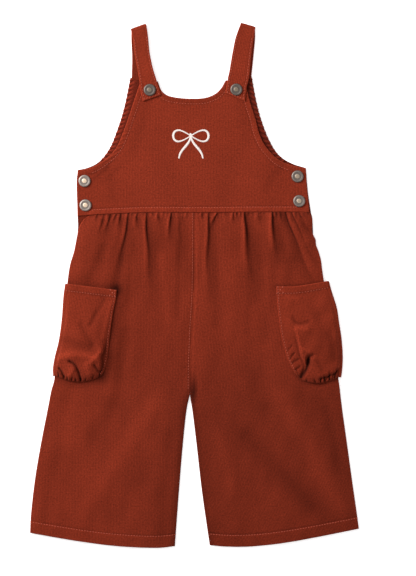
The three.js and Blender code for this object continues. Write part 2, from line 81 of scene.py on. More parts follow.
def noise(tree, place, scale, detail, roughness=0.5):
    return node(tree, "ShaderNodeTexNoise", {"Vector": place, "Scale": scale, "Detail": detail,
                                             "Roughness": roughness}).outputs[0]


def mix(tree, share, first, second):
    return node(tree, "ShaderNodeMix", {0: share, 6: first, 7: second}, data_type="RGBA").outputs[2]


def bump(tree, height, strength, distance):
    return node(tree, "ShaderNodeBump", {"Height": height, "Strength": strength,
                                         "Distance": distance}).outputs[0]


def attribute(tree, name):
    return node(tree, "ShaderNodeAttribute", attribute_name=name).outputs["Fac"]


def finish_material(tree, **shader_inputs):
    named = {key.replace("_", " "): value for key, value in shader_inputs.items()}
    shader = node(tree, "ShaderNodeBsdfPrincipled", named)
    node(tree, "ShaderNodeOutputMaterial", {"Surface": shader.outputs[0]})


def table_material():
    material = bpy.data.materials.new("white_table")
    tree = nodes_for(material)
    place = node(tree, "ShaderNodeTexCoord").outputs["Object"]
    tint = mix(tree, noise(tree, place, 3.0, 2.0), (0.90, 0.90, 0.90, 1), (0.93, 0.93, 0.93, 1))
    finish_material(tree, Base_Color=tint, Roughness=0.9, Specular_IOR_Level=0.1,
                    Emission_Color=(1, 1, 1, 1), Emission_Strength=TABLE_GLOW)
    return material


def soft_light(name, place, size, watts):
    """A round light that faces the middle of the garment."""
    data = bpy.data.lights.new(name, "AREA")
    data.shape = "DISK"
    data.size = size
    data.energy = watts
    light = bpy.data.objects.new(name, data)
    light.location = place
    light.rotation_euler = (-Vector(place)).to_track_quat("-Z", "Y").to_euler()
    scene.collection.objects.link(light)


table = bpy.data.objects.new("table", bpy.data.meshes.new("table"))
half = TABLE_SIZE / 2
table.data.from_pydata([(-half, -half, 0), (half, -half, 0), (half, half, 0), (-half, half, 0)], [],
                       [(0, 1, 2, 3)])
table.data.materials.append(table_material())
scene.collection.objects.link(table)

soft_light("window", (-1.8, 1.1, 1.3), 1.2, 92)
soft_light("overhead", (-0.3, 0.4, 2.4), 1.8, 10)
soft_light("reflector", (1.8, -0.6, 1.2), 1.4, 8)
world = bpy.data.worlds.new("studio")
world.use_nodes = True
world.node_tree.nodes["Background"].inputs["Color"].default_value = (1, 1, 1, 1)
world.node_tree.nodes["Background"].inputs["Strength"].default_value = 0.40
scene.world = world
scene.view_settings.view_transform = "Standard"

camera_data = bpy.data.cameras.new("camera")
camera_data.sensor_fit = "VERTICAL"
camera_data.sensor_height = SENSOR
camera_data.lens = SENSOR * CAMERA_HEIGHT / VIEW_HEIGHT
camera = bpy.data.objects.new("camera", camera_data)
camera.location = (*VIEW_CENTRE, CAMERA_HEIGHT)
scene.collection.objects.link(camera)
scene.camera = camera

# Front bib
# One panel of fine corduroy with a scooped neck and curved armholes, its edges turned and stitched.
# Its lower edge is sewn to the gathered legs, with the seam allowance stitched up under it as a band.
SIDE_SNAPS = [(-136.6, 130), (-135.4, 99.6), (129.1, 135.6), (131.2, 104.9)]
snap_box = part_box("snap_side_left_upper")
GARMENT_SHIFT = (np.array(snap_box[0][:2]) + np.array(snap_box[1][:2])) / 2 - np.array(SIDE_SNAPS[0]) * MM
CLOTH = 1.4
BIB_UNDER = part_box("front_bib")[0][2] / MM
BIB_WIDTH, BIB_HEIGHT, BIB_SIDE = 290, 190, 57
BIB_CROWN = 1.1
BAND_DEPTH = 6.3
BAND_BULK = 0.9
BAND_END = 20
EDGE_STITCH = 6.6
TURNED_BULK = 0.35
STITCH_SINK = 0.45
BIB_CORNER = 0.3
SHOULDER = 0.16
WAIST_SEAM = [(-147, 86.2), (-110, 88.5), (-56, 90.6), (0.5, 90.4), (86, 91.2), (148, 91.2)]
BIB = dict(
    side_left=[(-145.3, 86.3), (-146.4, 131), (-145, 143)],
    armhole_left=[(-145, 143), (-128.3, 146.9), (-115.8, 153.7), (-103, 164), (-95.6, 174),
                  (-88.9, 189.5), (-82.6, 207), (-76.4, 225.8), (-68, 250.5)],
    shoulder_left=[(-68, 250.5), (-45, 254.4)],
    neck=[(-45, 254.4), (-40.5, 242.8), (-35, 237.8), (-26.6, 235), (-5.9, 232.8), (14.8, 234),
          (27.3, 239.3), (33.5, 245.4), (39.6, 255.8)],
    shoulder_right=[(39.6, 255.8), (64.4, 250.5)],
    armhole_right=[(139.8, 145.8), (118.5, 150.6), (106, 156.3), (95.6, 165.6), (86.4, 178),
                   (81.1, 190.5), (77, 207), (70.4, 227.8), (64.4, 250.5)],
    side_right=[(143.8, 91.2), (140.9, 124), (139.8, 145.8)],
)
# Folds of the bib: places along it, depth (a ridge where negative), half width
BIB_FOLDS = [
    ([(-125, 133), (-118, 138), (-108, 148)], 1.1, 2.6),
    ([(-118, 145), (-124, 140), (-131, 138)], 0.6, 2.0),
    ([(-120, 128), (-104, 134), (-92, 146)], 0.35, 4.0),
    ([(-108, 150), (-102, 126), (-100, 108)], 0.5, 7.0),
    ([(112, 147), (100, 134), (92, 118)], 0.5, 6.0),
    ([(-60, 228), (-66, 190), (-72, 170)], 0.5, 8.0),
    ([(58, 228), (64, 200), (70, 180)], 0.45, 8.0),
    ([(-20, 100), (-30, 130), (-34, 156)], 0.3, 12.0),
    ([(40, 104), (50, 140), (52, 168)], 0.3, 12.0),
]


def smooth_line(points, steps=24):
    """The points of a smooth curve through a few places."""
    p = np.array(points, float)
    p = np.vstack([2 * p[0] - p[1], p, 2 * p[-1] - p[-2]])
    s = np.linspace(0, 1, steps, endpoint=False)[:, None]
    out = []
    for a, b, c, d in zip(p, p[1:], p[2:], p[3:]):
        before, here, after = (max(np.linalg.norm(q), 1e-9) ** 0.5 for q in (b - a, c - b, d - c))
        leave = ((b - a) / before - (c - a) / (before + here) + (c - b) / here) * here
        arrive = ((c - b) / here - (d - b) / (here + after) + (d - c) / after) * here
        out.append((2 * s**3 - 3 * s**2 + 1) * b + (s**3 - 2 * s**2 + s) * leave
                   + (3 * s**2 - 2 * s**3) * c + (s**3 - s**2) * arrive)
    return np.vstack([*out, p[-2]])


def lengths(line):
    return np.concatenate([[0], np.cumsum(np.linalg.norm(np.diff(line, axis=0), axis=1))])


def edge(*stretches):
    """An edge of stretches that meet at corners; each ends at its own share of the edge."""
    lines = [(to, smooth_line(points)) for to, points in stretches]

    def at(share):
        share = np.atleast_1d(np.asarray(share, float))
        out = np.zeros((len(share), 2))
        start = 0.0
        for to, line in lines:
            here = (share >= start - 1e-9) & (share <= to + 1e-9)
            run = lengths(line)
            along = np.clip((share[here] - start) / (to - start), 0, 1) * run[-1]
            out[here] = np.stack([np.interp(along, run, line[:, k]) for k in (0, 1)], axis=1)
            start = to
        return out

    return at


def patch(bottom, top, left, right):
    """Places inside four edges, as rows of points for columns u and rows v."""
    def at(u, v):
        u, v = np.atleast_1d(u).astype(float), np.atleast_1d(v).astype(float)
        across, up = u[None, :, None], v[:, None, None]
        corners = ((1 - up) * ((1 - across) * bottom(0) + across * bottom(1))
                   + up * ((1 - across) * top(0) + across * top(1)))
        return ((1 - up) * bottom(u)[None] + up * top(u)[None]
                + (1 - across) * left(v)[:, None] + across * right(v)[:, None] - corners)

    return at


def waist_height(x):
    line = smooth_line(WAIST_SEAM)
    return np.interp(x, line[:, 0], line[:, 1])


def waist_edge(from_x, to_x, drop=0.0):
    def at(share):
        x = from_x + (to_x - from_x) * np.atleast_1d(share)
        return np.stack([x, waist_height(x) - drop], axis=1)

    return at


def lines_over(length, step, fine_at=(0, 1)):
    """Shares of a length at an even step, closer together beside the shares in fine_at."""
    lip = np.array([0, 0.15, 0.4, 0.75, 1.2, 1.9])
    shares = [np.linspace(0, 1, max(int(length / step), 2) + 1)]
    for at in fine_at:
        shares += [at + lip / length, at - lip / length]
    shares = np.unique(np.clip(np.concatenate(shares), 0, 1))
    keep = [0.0]
    for share in shares[1:]:
        if share - keep[-1] > 0.1 / length:
            keep.append(share)
    keep[-1] = 1.0
    return np.array(keep)


def distance_to(line, places):
    """How far each place is from a line, in plan."""
    line = np.asarray(line, float)[:, :2]
    a, d = line[:-1], np.diff(line, axis=0)
    size = np.maximum((d**2).sum(1), 1e-12)
    flat = places.reshape(-1, 2)
    out = np.empty(len(flat))
    for k in range(0, len(flat), 4000):
        gap = flat[k:k + 4000, None] - a[None]
        t = np.clip((gap * d).sum(2) / size, 0, 1)
        out[k:k + 4000] = np.sqrt(((gap - t[..., None] * d) ** 2).sum(2).min(1))
    return out.reshape(places.shape[:-1])


def ease(low, high, value):
    t = np.clip((value - low) / (high - low), 0, 1)
    return t * t * (3 - 2 * t)


def rounded(distance, reach):
    """0 at an edge, rising to 1 at reach from it, like a quarter round."""
    return np.sqrt(np.maximum(1 - (1 - np.clip(distance / reach, 0, 1)) ** 2, 0))


def thinned(distance, reach, least):
    """The share of its thickness that cloth has near a rim: least there, and 1 from reach on."""
    return least + (1 - least) * rounded(distance, reach)


def groove(distance, width):
    return np.exp(-((distance / width) ** 2))


def unevenness(x, y, size, seed):
    """A slow wander between about -1 and 1, the same on every run."""
    random = np.random.default_rng(seed)
    total = np.zeros(np.shape(x))
    for _ in range(6):
        turn, phase = random.uniform(0, math.tau, 2)
        wave = math.tau / (size * random.uniform(0.7, 1.6))
        total = total + np.sin((x * math.cos(turn) + y * math.sin(turn)) * wave + phase)
    return total / 3


def beside(line, distance):
    """A line moved sideways: to the left of its run where distance is positive."""
    line = np.asarray(line, float)
    run = np.gradient(line, axis=0)
    run /= np.maximum(np.linalg.norm(run, axis=1, keepdims=True), 1e-9)
    return line + np.stack([-run[:, 1], run[:, 0]], axis=1) * distance


def right_of(line, places):
    """How far each place lies to the right of a line's run; negative to its left."""
    off = distance_to(line, places)
    nearer = distance_to(beside(line, -0.5), places) < distance_to(beside(line, 0.5), places)
    return np.where(nearer, off, -off)


def fold_relief(plan, folds):
    """Troughs and ridges along curved lines, fading out past their ends."""
    relief = np.zeros(plan.shape[:2])
    for points, depth, width in folds:
        relief -= depth * groove(distance_to(smooth_line(points, 6), plan), width)
    return relief


def cloth_piece(name, lower, upper, cloth, material, tone, tone_below=None):
    """A closed wall between two like grids of points, in mm, with the cloth's own flat measure as UV."""
    rows, columns = lower.shape[:2]
    count = rows * columns
    ids = np.arange(count).reshape(rows, columns)
    a, b, c, d = ids[:-1, :-1], ids[:-1, 1:], ids[1:, 1:], ids[1:, :-1]
    above = np.stack([a, b, c, d], -1).reshape(-1, 4) + count
    beneath = np.stack([d, c, b, a], -1).reshape(-1, 4)
    loop = np.concatenate([ids[0], ids[1:, -1], ids[-1, ::-1][1:], ids[::-1, 0][1:]])
    after = np.roll(loop, -1)
    loop, after = loop[loop != after], after[loop != after]
    rim = np.stack([loop, after, after + count, loop + count], -1)
    faces = np.concatenate([above, beneath, rim])
    middle = (rows // 2, columns // 2)
    along = upper[middle[0], middle[1] + 1] - upper[middle]
    up_row = upper[middle[0] + 1, middle[1]] - upper[middle]
    if np.dot(np.cross(along, up_row), upper[middle] - lower[middle]) < 0:
        faces = faces[:, ::-1]
    places = np.concatenate([lower.reshape(-1, 3), upper.reshape(-1, 3)]) * MM
    places[:, :2] += GARMENT_SHIFT
    mesh = bpy.data.meshes.new(name)
    mesh.from_pydata(places.tolist(), [], faces.tolist())
    flat = np.tile(cloth.reshape(-1, 2), (2, 1)) * MM
    corner = np.empty(len(mesh.loops), int)
    mesh.loops.foreach_get("vertex_index", corner)
    mesh.uv_layers.new(name="cloth").data.foreach_set("uv", flat[corner].ravel())
    below = tone if tone_below is None else tone_below
    mesh.attributes.new("tone", "FLOAT", "POINT").data.foreach_set(
        "value", np.concatenate([below.ravel(), tone.ravel()]).astype(np.float32))
    mesh.shade_smooth()
    mesh.materials.append(material)
    piece = bpy.data.objects.new(name, mesh)
    scene.collection.objects.link(piece)
    return piece


def stands_for(piece, solid):
    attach(piece, "root")
    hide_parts(solid)


def nearest_edge(outline, names, plan):
    return np.minimum.reduce([distance_to(smooth_line(outline[name]), plan) for name in names])


def with_height(plan, height):
    return np.concatenate([plan, np.broadcast_to(height, plan.shape[:2])[..., None]], axis=2)


WALE = 0.0019
WALE_WANDER = 0.0009
DARKEST = 0.12
# Wale top and groove colours: the grooves are painted darker, as shade sunk between the wales
CORDUROY_TOP = (0.195, 0.0229, 0.0090, 1)
CORDUROY_GROOVE = (0.124, 0.0137, 0.0057, 1)


def corduroy(name, turn=0.0, top=CORDUROY_TOP, bottom=CORDUROY_GROOVE):
    """Corduroy: round wales with grooves painted darker as shade, a brushed nap, and a tone that wanders,
    wears and carries each piece's painted light and shade.
    """
    material = bpy.data.materials.new(name)
    tree = nodes_for(material)
    flat = node(tree, "ShaderNodeUVMap", uv_map="cloth").outputs[0]
    turned = node(tree, "ShaderNodeMapping", {"Vector": flat, "Rotation": (0, 0, turn)}).outputs[0]
    wander = noise(tree, turned, 55.0, 1.0)
    parts = node(tree, "ShaderNodeSeparateXYZ", {"Vector": turned})
    shifted = maths(tree, "MULTIPLY_ADD", wander, WALE_WANDER, parts.outputs[0])
    phase = maths(tree, "FRACT", maths(tree, "DIVIDE", shifted, WALE))
    off = maths(tree, "MULTIPLY", maths(tree, "SUBTRACT", phase, 0.5), 2.0)
    wale = maths(tree, "SQRT", maths(tree, "SUBTRACT", 1.0001, maths(tree, "MULTIPLY", off, off)))
    nap = noise(tree, turned, 2200.0, 2.0, 0.7)
    brushed = noise(tree, flat, 24.0, 6.0, 0.6)
    grain = noise(tree, flat, 520.0, 3.0, 0.75)
    height = maths(tree, "MULTIPLY_ADD", nap, 0.35, wale)
    raised = node(tree, "ShaderNodeMapRange", {"Value": wale, "From Min": 0.35, "From Max": 0.95},
                  interpolation_type="SMOOTHSTEP").outputs[0]
    colour = mix(tree, raised, bottom, top)
    # The tone attribute carries each piece's painted light and shade, along with its wear
    shades = [maths(tree, "MULTIPLY_ADD", grain, 1.9, 0.05),
              maths(tree, "MULTIPLY_ADD", nap, 0.50, 0.75),
              maths(tree, "MAXIMUM", maths(tree, "ADD", attribute(tree, "tone"), 1.0), DARKEST)]
    light = maths(tree, "MULTIPLY_ADD", brushed, 0.40, 0.80)
    for shade in shades:
        light = maths(tree, "MULTIPLY", light, shade)
    lit = node(tree, "ShaderNodeVectorMath", {0: colour, "Scale": light}, operation="SCALE").outputs[0]
    finish_material(tree, Base_Color=lit, Roughness=0.95, Specular_IOR_Level=0.05, Sheen_Weight=0.10,
                    Sheen_Roughness=0.5, Sheen_Tint=(1.0, 0.30, 0.18, 1),
                    Normal=bump(tree, height, 0.40, 0.00025))
    return material


rust_corduroy = corduroy("rust_corduroy")


def thread_material(name, colour):
    material = bpy.data.materials.new(name)
    tree = nodes_for(material)
    place = node(tree, "ShaderNodeTexCoord").outputs["Object"]
    twist = noise(tree, place, 1800.0, 2.0)
    tint = mix(tree, twist, [c * 0.72 for c in colour] + [1], [min(c * 1.2, 1) for c in colour] + [1])
    finish_material(tree, Base_Color=tint, Roughness=0.75, Specular_IOR_Level=0.12,
                    Normal=bump(tree, twist, 0.4, 0.0001))
    return material


sewing_thread = thread_material("rust_thread", (0.43, 0.090, 0.054))


def thread_tree():
    """Threads laid at an even spacing along lines: each a spindle, turned from the line by an angle."""
    tree = bpy.data.node_groups.new("laid_threads", "GeometryNodeTree")
    tree.interface.new_socket("Lines", in_out="INPUT", socket_type="NodeSocketGeometry")
    for name, value in (("Spacing", 0.003), ("Length", 0.002), ("Thickness", 0.0005), ("Turn", 0.0),
                        ("Unevenness", 0.1)):
        tree.interface.new_socket(name, in_out="INPUT", socket_type="NodeSocketFloat").default_value = value
    tree.interface.new_socket("Seed", in_out="INPUT", socket_type="NodeSocketInt")
    tree.interface.new_socket("Thread", in_out="INPUT", socket_type="NodeSocketMaterial")
    tree.interface.new_socket("Threads", in_out="OUTPUT", socket_type="NodeSocketGeometry")
    given = node(tree, "NodeGroupInput").outputs
    curve = node(tree, "GeometryNodeMeshToCurve", {"Mesh": given["Lines"]})
    points = node(tree, "GeometryNodeCurveToPoints", {"Curve": curve.outputs[0],
                                                      "Length": given["Spacing"]}, mode="LENGTH")
    ball = node(tree, "GeometryNodeMeshUVSphere", {"Segments": 6, "Rings": 5, "Radius": 0.5})
    width = node(tree, "GeometryNodeInputNamedAttribute", {"Name": "width"}, data_type="FLOAT")
    low = maths(tree, "SUBTRACT", 1.0, given["Unevenness"])
    high = maths(tree, "ADD", 1.0, given["Unevenness"])
    vary = node(tree, "FunctionNodeRandomValue", {2: low, 3: high, "Seed": given["Seed"]},
                data_type="FLOAT")
    long = maths(tree, "MULTIPLY", maths(tree, "MULTIPLY", given["Length"], vary.outputs[1]),
                 width.outputs[0])
    size = node(tree, "ShaderNodeCombineXYZ", {0: given["Thickness"], 1: given["Thickness"], 2: long})
    slant = node(tree, "ShaderNodeCombineXYZ", {2: given["Turn"]})
    turn = node(tree, "FunctionNodeEulerToRotation", {0: slant.outputs[0]})
    aim = node(tree, "FunctionNodeRotateRotation", {0: points.outputs["Rotation"], 1: turn.outputs[0]},
               rotation_space="GLOBAL")
    laid = node(tree, "GeometryNodeInstanceOnPoints", {"Points": points.outputs[0],
                "Instance": ball.outputs[0], "Rotation": aim.outputs[0], "Scale": size.outputs[0]})
    real = node(tree, "GeometryNodeRealizeInstances", {0: laid.outputs[0]})
    smooth = node(tree, "GeometryNodeSetShadeSmooth", {0: real.outputs[0]})
    done = node(tree, "GeometryNodeSetMaterial", {"Geometry": smooth.outputs[0],
                                                  "Material": given["Thread"]})
    node(tree, "NodeGroupOutput", {0: done.outputs[0]})
    return tree


laid_threads = thread_tree()


def surface_of(piece):
    mesh = piece.data
    return BVHTree.FromPolygons([v.co for v in mesh.vertices], [p.vertices for p in mesh.polygons])


def lay_threads(name, lines, on, thread, slot, lift=0.16, widths=None, below=False, **settings):
    """Threads along plan lines, on the top or the underside of a piece. Settings are the tree's inputs."""
    surface = surface_of(on)
    places, pairs, wide = [], [], []
    for k, line in enumerate(lines):
        line = np.asarray(line, float)[:, :2] * MM + GARMENT_SHIFT
        start, way = (-0.1, 1) if below else (0.1, -1)
        found = [surface.ray_cast(Vector((x, y, start)), Vector((0, 0, way)))[0] for x, y in line]
        kept = [(p, 1.0 if widths is None else float(widths[k][j])) for j, p in enumerate(found) if p]
        pairs += [(len(places) + i, len(places) + i + 1) for i in range(len(kept) - 1)]
        places += [(p.x, p.y, max(p.z - way * lift * MM, settings["Thickness"] * 0.55)) for p, _ in kept]
        wide += [w for _, w in kept]
    mesh = bpy.data.meshes.new(name + "_lines")
    mesh.from_pydata(places, pairs, [])
    mesh.attributes.new("width", "FLOAT", "POINT").data.foreach_set("value", wide)
    path = bpy.data.objects.new(name + "_lines", mesh)
    scene.collection.objects.link(path)
    modifier = path.modifiers.new("threads", "NODES")
    modifier.node_group = laid_threads
    for item in laid_threads.interface.items_tree:
        if item.in_out == "INPUT" and item.name in settings:
            modifier[item.identifier] = settings[item.name]
        elif item.in_out == "INPUT" and item.name == "Thread":
            modifier[item.identifier] = thread
    bpy.context.view_layer.update()
    made = bpy.data.meshes.new_from_object(path.evaluated_get(bpy.context.evaluated_depsgraph_get()))
    bpy.data.objects.remove(path)
    made.name = name
    piece = bpy.data.objects.new(name, made)
    scene.collection.objects.link(piece)
    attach(piece, "root")
    return piece


STITCH = dict(Spacing=0.0034, Length=0.0023, Thickness=0.00066, Unevenness=0.14)


def topstitch(name, lines, on, seed, below=False, **changes):
    lay_threads("topstitch_" + name, lines, on, sewing_thread, "thread", below=below, Seed=seed,
                **(STITCH | changes))


def bib_place(outline, bottom):
    return patch(
        bottom,
        edge((SHOULDER, outline["shoulder_left"]), (1 - SHOULDER, outline["neck"]),
             (1, outline["shoulder_right"])),
        edge((BIB_CORNER, outline["side_left"]), (1, outline["armhole_left"])),
        edge((BIB_CORNER, outline["side_right"]), (1, outline["armhole_right"])),
    )


def turned_edge(distance, stitch_at, bulk):
    """What a turned and stitched edge adds to the cloth: bulk inside the stitch line, sunk along it."""
    return (bulk * (1 - ease(stitch_at - 0.8, stitch_at + 1.2, distance))
            - STITCH_SINK * groove(distance - stitch_at, 0.9))


def front_bib():
    left, right = BIB["side_left"][0][0], BIB["side_right"][0][0]
    place = bib_place(BIB, waist_edge(left, right))
    columns = lines_over(BIB_WIDTH, 1.9, (0, SHOULDER, 1 - SHOULDER, 1))
    rows = lines_over(BIB_HEIGHT, 1.9, (0, BAND_DEPTH / BIB_SIDE * BIB_CORNER, BIB_CORNER, 1))
    plan = place(columns, rows)
    x, y = plan[..., 0], plan[..., 1]
    crown = (BIB_CROWN * ease(18, 60, x - left) * ease(18, 60, right - x) * (1 - ease(170, 225, y))
             * ease(95, 125, y))
    crown = crown + 0.28 * unevenness(x, y, 62, 3) * ease(6, 30, right - x) * ease(6, 30, x - left)
    crown = crown + fold_relief(plan, BIB_FOLDS)
    under = BIB_UNDER + np.maximum(crown, 0)
    neck = nearest_edge(BIB, ["neck"], plan)
    sewn = np.minimum(nearest_edge(BIB, ["armhole_left", "armhole_right"], plan), neck)
    sides = nearest_edge(BIB, ["side_left", "side_right"], plan)
    above_seam = y - waist_height(x)
    in_band = ease(left + 8, left + BAND_END, x) * (1 - ease(right - BAND_END, right - 8, x))
    band = (BAND_BULK * (1 - ease(BAND_DEPTH - 0.6, BAND_DEPTH + 1.0, above_seam))
            - STITCH_SINK * groove(above_seam - BAND_DEPTH, 0.8)) * in_band
    pucker = 0.16 * np.sin(x * 0.95 + 1.5 * unevenness(x, y, 30, 5)) * groove(above_seam - BAND_DEPTH, 3.2)
    slant = np.sin((y - 0.5 * x) * math.tau / 4.8 + 2 * unevenness(x, y, 25, 9))
    ribs = slant * groove(sewn - 4, 3.6) * ease(-116, -104, x) * (1 - ease(-88, -78, x))
    ripple = 0.14 * unevenness(x, y, 9, 8) * groove(sewn - EDGE_STITCH, 4) + 0.35 * ribs
    dimple = sum(-0.35 * groove(np.hypot(x - cx, y - cy), 11)
                 for cx, cy in SIDE_SNAPS)
    rim = np.minimum.reduce([sewn, sides, np.maximum(above_seam, 0),
                             distance_to(BIB["shoulder_left"], plan),
                             distance_to(BIB["shoulder_right"], plan)])
    thickness = (CLOTH + band + turned_edge(sewn, EDGE_STITCH, TURNED_BULK) + pucker * in_band + ripple
                 + dimple)
    thickness = thickness * thinned(rim, 1.3, 0.28)
    # Painted light and shade in the bib's colour: rims lighter as highlight and wear, painted shade beside
    # the stitch lines and in the folds, painted light and shade on the slanted ribs, the raised band lighter
    # and uneven, the neck strip and the left side darker
    wear_and_painted_shading = (0.34 * groove(rim, 0.9) + 0.07 * (band > 0.4) - 0.16 * groove(sewn - EDGE_STITCH - 1.2, 1.0)
            - 0.08 * (1 - ease(EDGE_STITCH - 1.5, EDGE_STITCH, neck)) - 0.05 * (1 - ease(-125, -70, x))
            - 0.16 * groove(above_seam - BAND_DEPTH - 1.3, 0.9) * in_band + 0.22 * ribs
            + 0.18 * fold_relief(plan, BIB_FOLDS) + 0.07 * unevenness(x, 0.2 * y, 7, 77) * (band > 0.4))
    lower, upper = with_height(plan, under), with_height(plan, under + np.maximum(thickness, 0.35))
    piece = cloth_piece("bib_front", lower, upper, plan, rust_corduroy, wear_and_painted_shading)
    stands_for(piece, "front_bib")
    band_x = np.linspace(left + BAND_END - 2, right - BAND_END + 4, 160)
    seams = [
        beside(smooth_line(BIB["armhole_left"])[24:-10], -EDGE_STITCH),
        beside(smooth_line(BIB["armhole_right"])[24:-10], EDGE_STITCH),
        beside(smooth_line(BIB["neck"])[14:-14], -EDGE_STITCH),
        np.stack([band_x, waist_height(band_x) + BAND_DEPTH], axis=1),
    ]
    topstitch("bib_front", seams, piece, 11)
    return piece


bib_piece = front_bib()

# Back bib and facings
# The back bib is cut like the front with a slightly lower neck, and lies under it, wrong side up.
# A strip of the same corduroy, cut across the grain, faces each of its armholes and shows inside.
BACK_BIB = dict(
    side_left=[(-145.6, 85.3), (-146.2, 125), (-145.4, 143.9)],
    armhole_left=[(-145.4, 143.9), (-135, 146), (-122.5, 151.4), (-113.8, 158.9), (-103.8, 173.9),
                  (-95, 196.4), (-90, 211.4), (-85, 231.4), (-79.6, 258.9)],
    shoulder_left=[(-79.6, 258.9), (-57, 257.4)],
    neck=[(-57, 257.4), (-50, 240), (-38, 230), (-5, 225.5), (25, 229), (44, 241), (50.5, 259.6)],
    shoulder_right=[(50.5, 259.6), (71.9, 261.4)],
    armhole_right=[(139.8, 146.4), (123.8, 151.4), (110, 158.9), (102.5, 166.4), (93.8, 181.4),
                   (87.5, 196.4), (82.5, 211.4), (77.5, 231.4), (71.9, 261.4)],
    side_right=[(146.3, 90.2), (142.6, 115), (139.8, 146.4)],
)
BACK_FOLDS = [
    ([(-120, 134), (-104, 150)], 0.6, 3.0), ([(96, 120), (108, 146)], 0.6, 4.0),
    ([(-40, 100), (-46, 150)], 0.45, 6.0), ([(24, 104), (20, 170)], 0.4, 7.0),
    ([(-74, 236), (-78, 200)], 0.5, 4.0), ([(70, 236), (76, 196)], 0.5, 4.0),
]
FACING_WIDTH = 20
FACING_CLOTH = 1.0
FACING_START, FACING_SHARE = 0.2, 0.79
FACING_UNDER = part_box("facing_left")[0][2] / MM
# A darker, flatter copy of the corduroy: painted shade for the facings, which lie in the armholes under the
# bib's edge
shaded_corduroy = corduroy("corduroy_inside", turn=math.radians(48), top=(0.170, 0.0200, 0.0090, 1),
                         bottom=(0.120, 0.0132, 0.0064, 1))
ROPE_PITCH = 6.3


def back_bib():
    left, right = BACK_BIB["side_left"][0][0], BACK_BIB["side_right"][0][0]
    columns = lines_over(BIB_WIDTH, 2.2, (0, SHOULDER, 1 - SHOULDER, 1))
    rows = lines_over(BIB_HEIGHT, 2.2, (0, BIB_CORNER, 1))
    plan = bib_place(BACK_BIB, waist_edge(left, right, 1.0))(columns, rows)
    outline = [smooth_line(BACK_BIB[k]) for k in ("side_left", "armhole_left", "neck", "armhole_right",
                                                  "side_right")]
    rim = np.minimum.reduce([distance_to(line, plan) for line in outline])
    x, y = plan[..., 0], plan[..., 1]
    above_seam = y - waist_height(x)
    edges = np.minimum.reduce([distance_to(line, plan) for line in outline[1:4]])
    hollow = (0.42 * groove(edges - EDGE_STITCH, 1.6) + 0.42 * groove(above_seam - BAND_DEPTH, 1.6)
              + 0.35 * np.clip(unevenness(x, y, 80, 13), 0, 1) - fold_relief(plan, BACK_FOLDS))
    lower = with_height(plan, np.minimum(hollow + 0.35 * (1 - rounded(rim, 0.9)), 0.75))
    upper = with_height(plan, CLOTH * thinned(rim, 1.2, 0.6))
    # Its top is painted darker as shade under the front bib; its underside is painted lighter at the rim as
    # highlight and wear, and darker in its hollows as shade
    piece = cloth_piece("bib_back", lower, upper, plan, rust_corduroy, np.full(rim.shape, -0.35),
                        0.25 * groove(rim, 0.9) - 0.12 - 0.2 * np.minimum(hollow, 0.75))
    stands_for(piece, "back_bib")
    band_x = np.linspace(left + 6, right - 6, 160)
    seams = [beside(outline[1][24:-10], -EDGE_STITCH), beside(outline[2][8:-8], -EDGE_STITCH),
             beside(outline[3][24:-10], EDGE_STITCH),
             np.stack([band_x, waist_height(band_x) + BAND_DEPTH], axis=1)]
    topstitch("bib_back", seams, piece, 15, below=True)


def facing(side):
    armhole = smooth_line(BACK_BIB["armhole_" + side])
    run = lengths(armhole)
    along = run[-1] * (FACING_START + FACING_SHARE * lines_over(run[-1] * FACING_SHARE, 0.8))
    outer = np.stack([np.interp(along, run, armhole[:, k]) for k in (0, 1)], axis=1)
    inward = -1 if side == "left" else 1
    across = lines_over(FACING_WIDTH, 1.2)
    turns = (along + 1.2 * unevenness(along, 0, 34, 19)) / ROPE_PITCH
    notch = 0.6 * np.sin(turns * math.tau)[:, None]
    plan = np.stack([beside(outer, inward * (0.2 - notch * (1 - t) + FACING_WIDTH * t)) for t in across],
                    axis=1)
    from_edge = np.broadcast_to(across * FACING_WIDTH, plan.shape[:2])
    gap = (0.5 - 0.5 * np.sin((turns[:, None] - 0.13 * from_edge) * math.tau)) ** 2
    rope = (1 - 2 * gap) * groove(from_edge - 1.6, 4.4)
    bib_edge_shadow = groove(nearest_edge(BIB, ["armhole_" + side], plan), 2.2)
    lower = with_height(plan, FACING_UNDER)
    thickness = (FACING_CLOTH + 0.5 + 0.6 * rope) * thinned(from_edge, 1.0, 0.3)
    upper = with_height(plan, FACING_UNDER + np.maximum(thickness, 0.3))
    cloth = np.stack(np.broadcast_arrays(from_edge, along[:, None]), axis=2)
    # Painted light and shade: the right facing painted darker as shade, both lighter at the rim, the rope
    # rolls painted lighter and darker, the inner part and the line along the bib's edge painted dark as the
    # bib's shadow
    dim = 0.0 if side == "left" else 1.0
    shade = (-0.12 - 0.30 * dim + (0.45 - 0.2 * dim) * rope + 0.15 * groove(from_edge - 0.6, 0.9)
             - 0.26 * ease(4.5 - 1.5 * dim, 7.5 - 1.5 * dim, from_edge) - 0.10 * (1 - dim) * bib_edge_shadow)
    piece = cloth_piece("armhole_facing_" + side, lower, upper, cloth, shaded_corduroy, shade)
    stands_for(piece, "facing_" + side)


back_bib()
for side in ("left", "right"):
    facing(side)

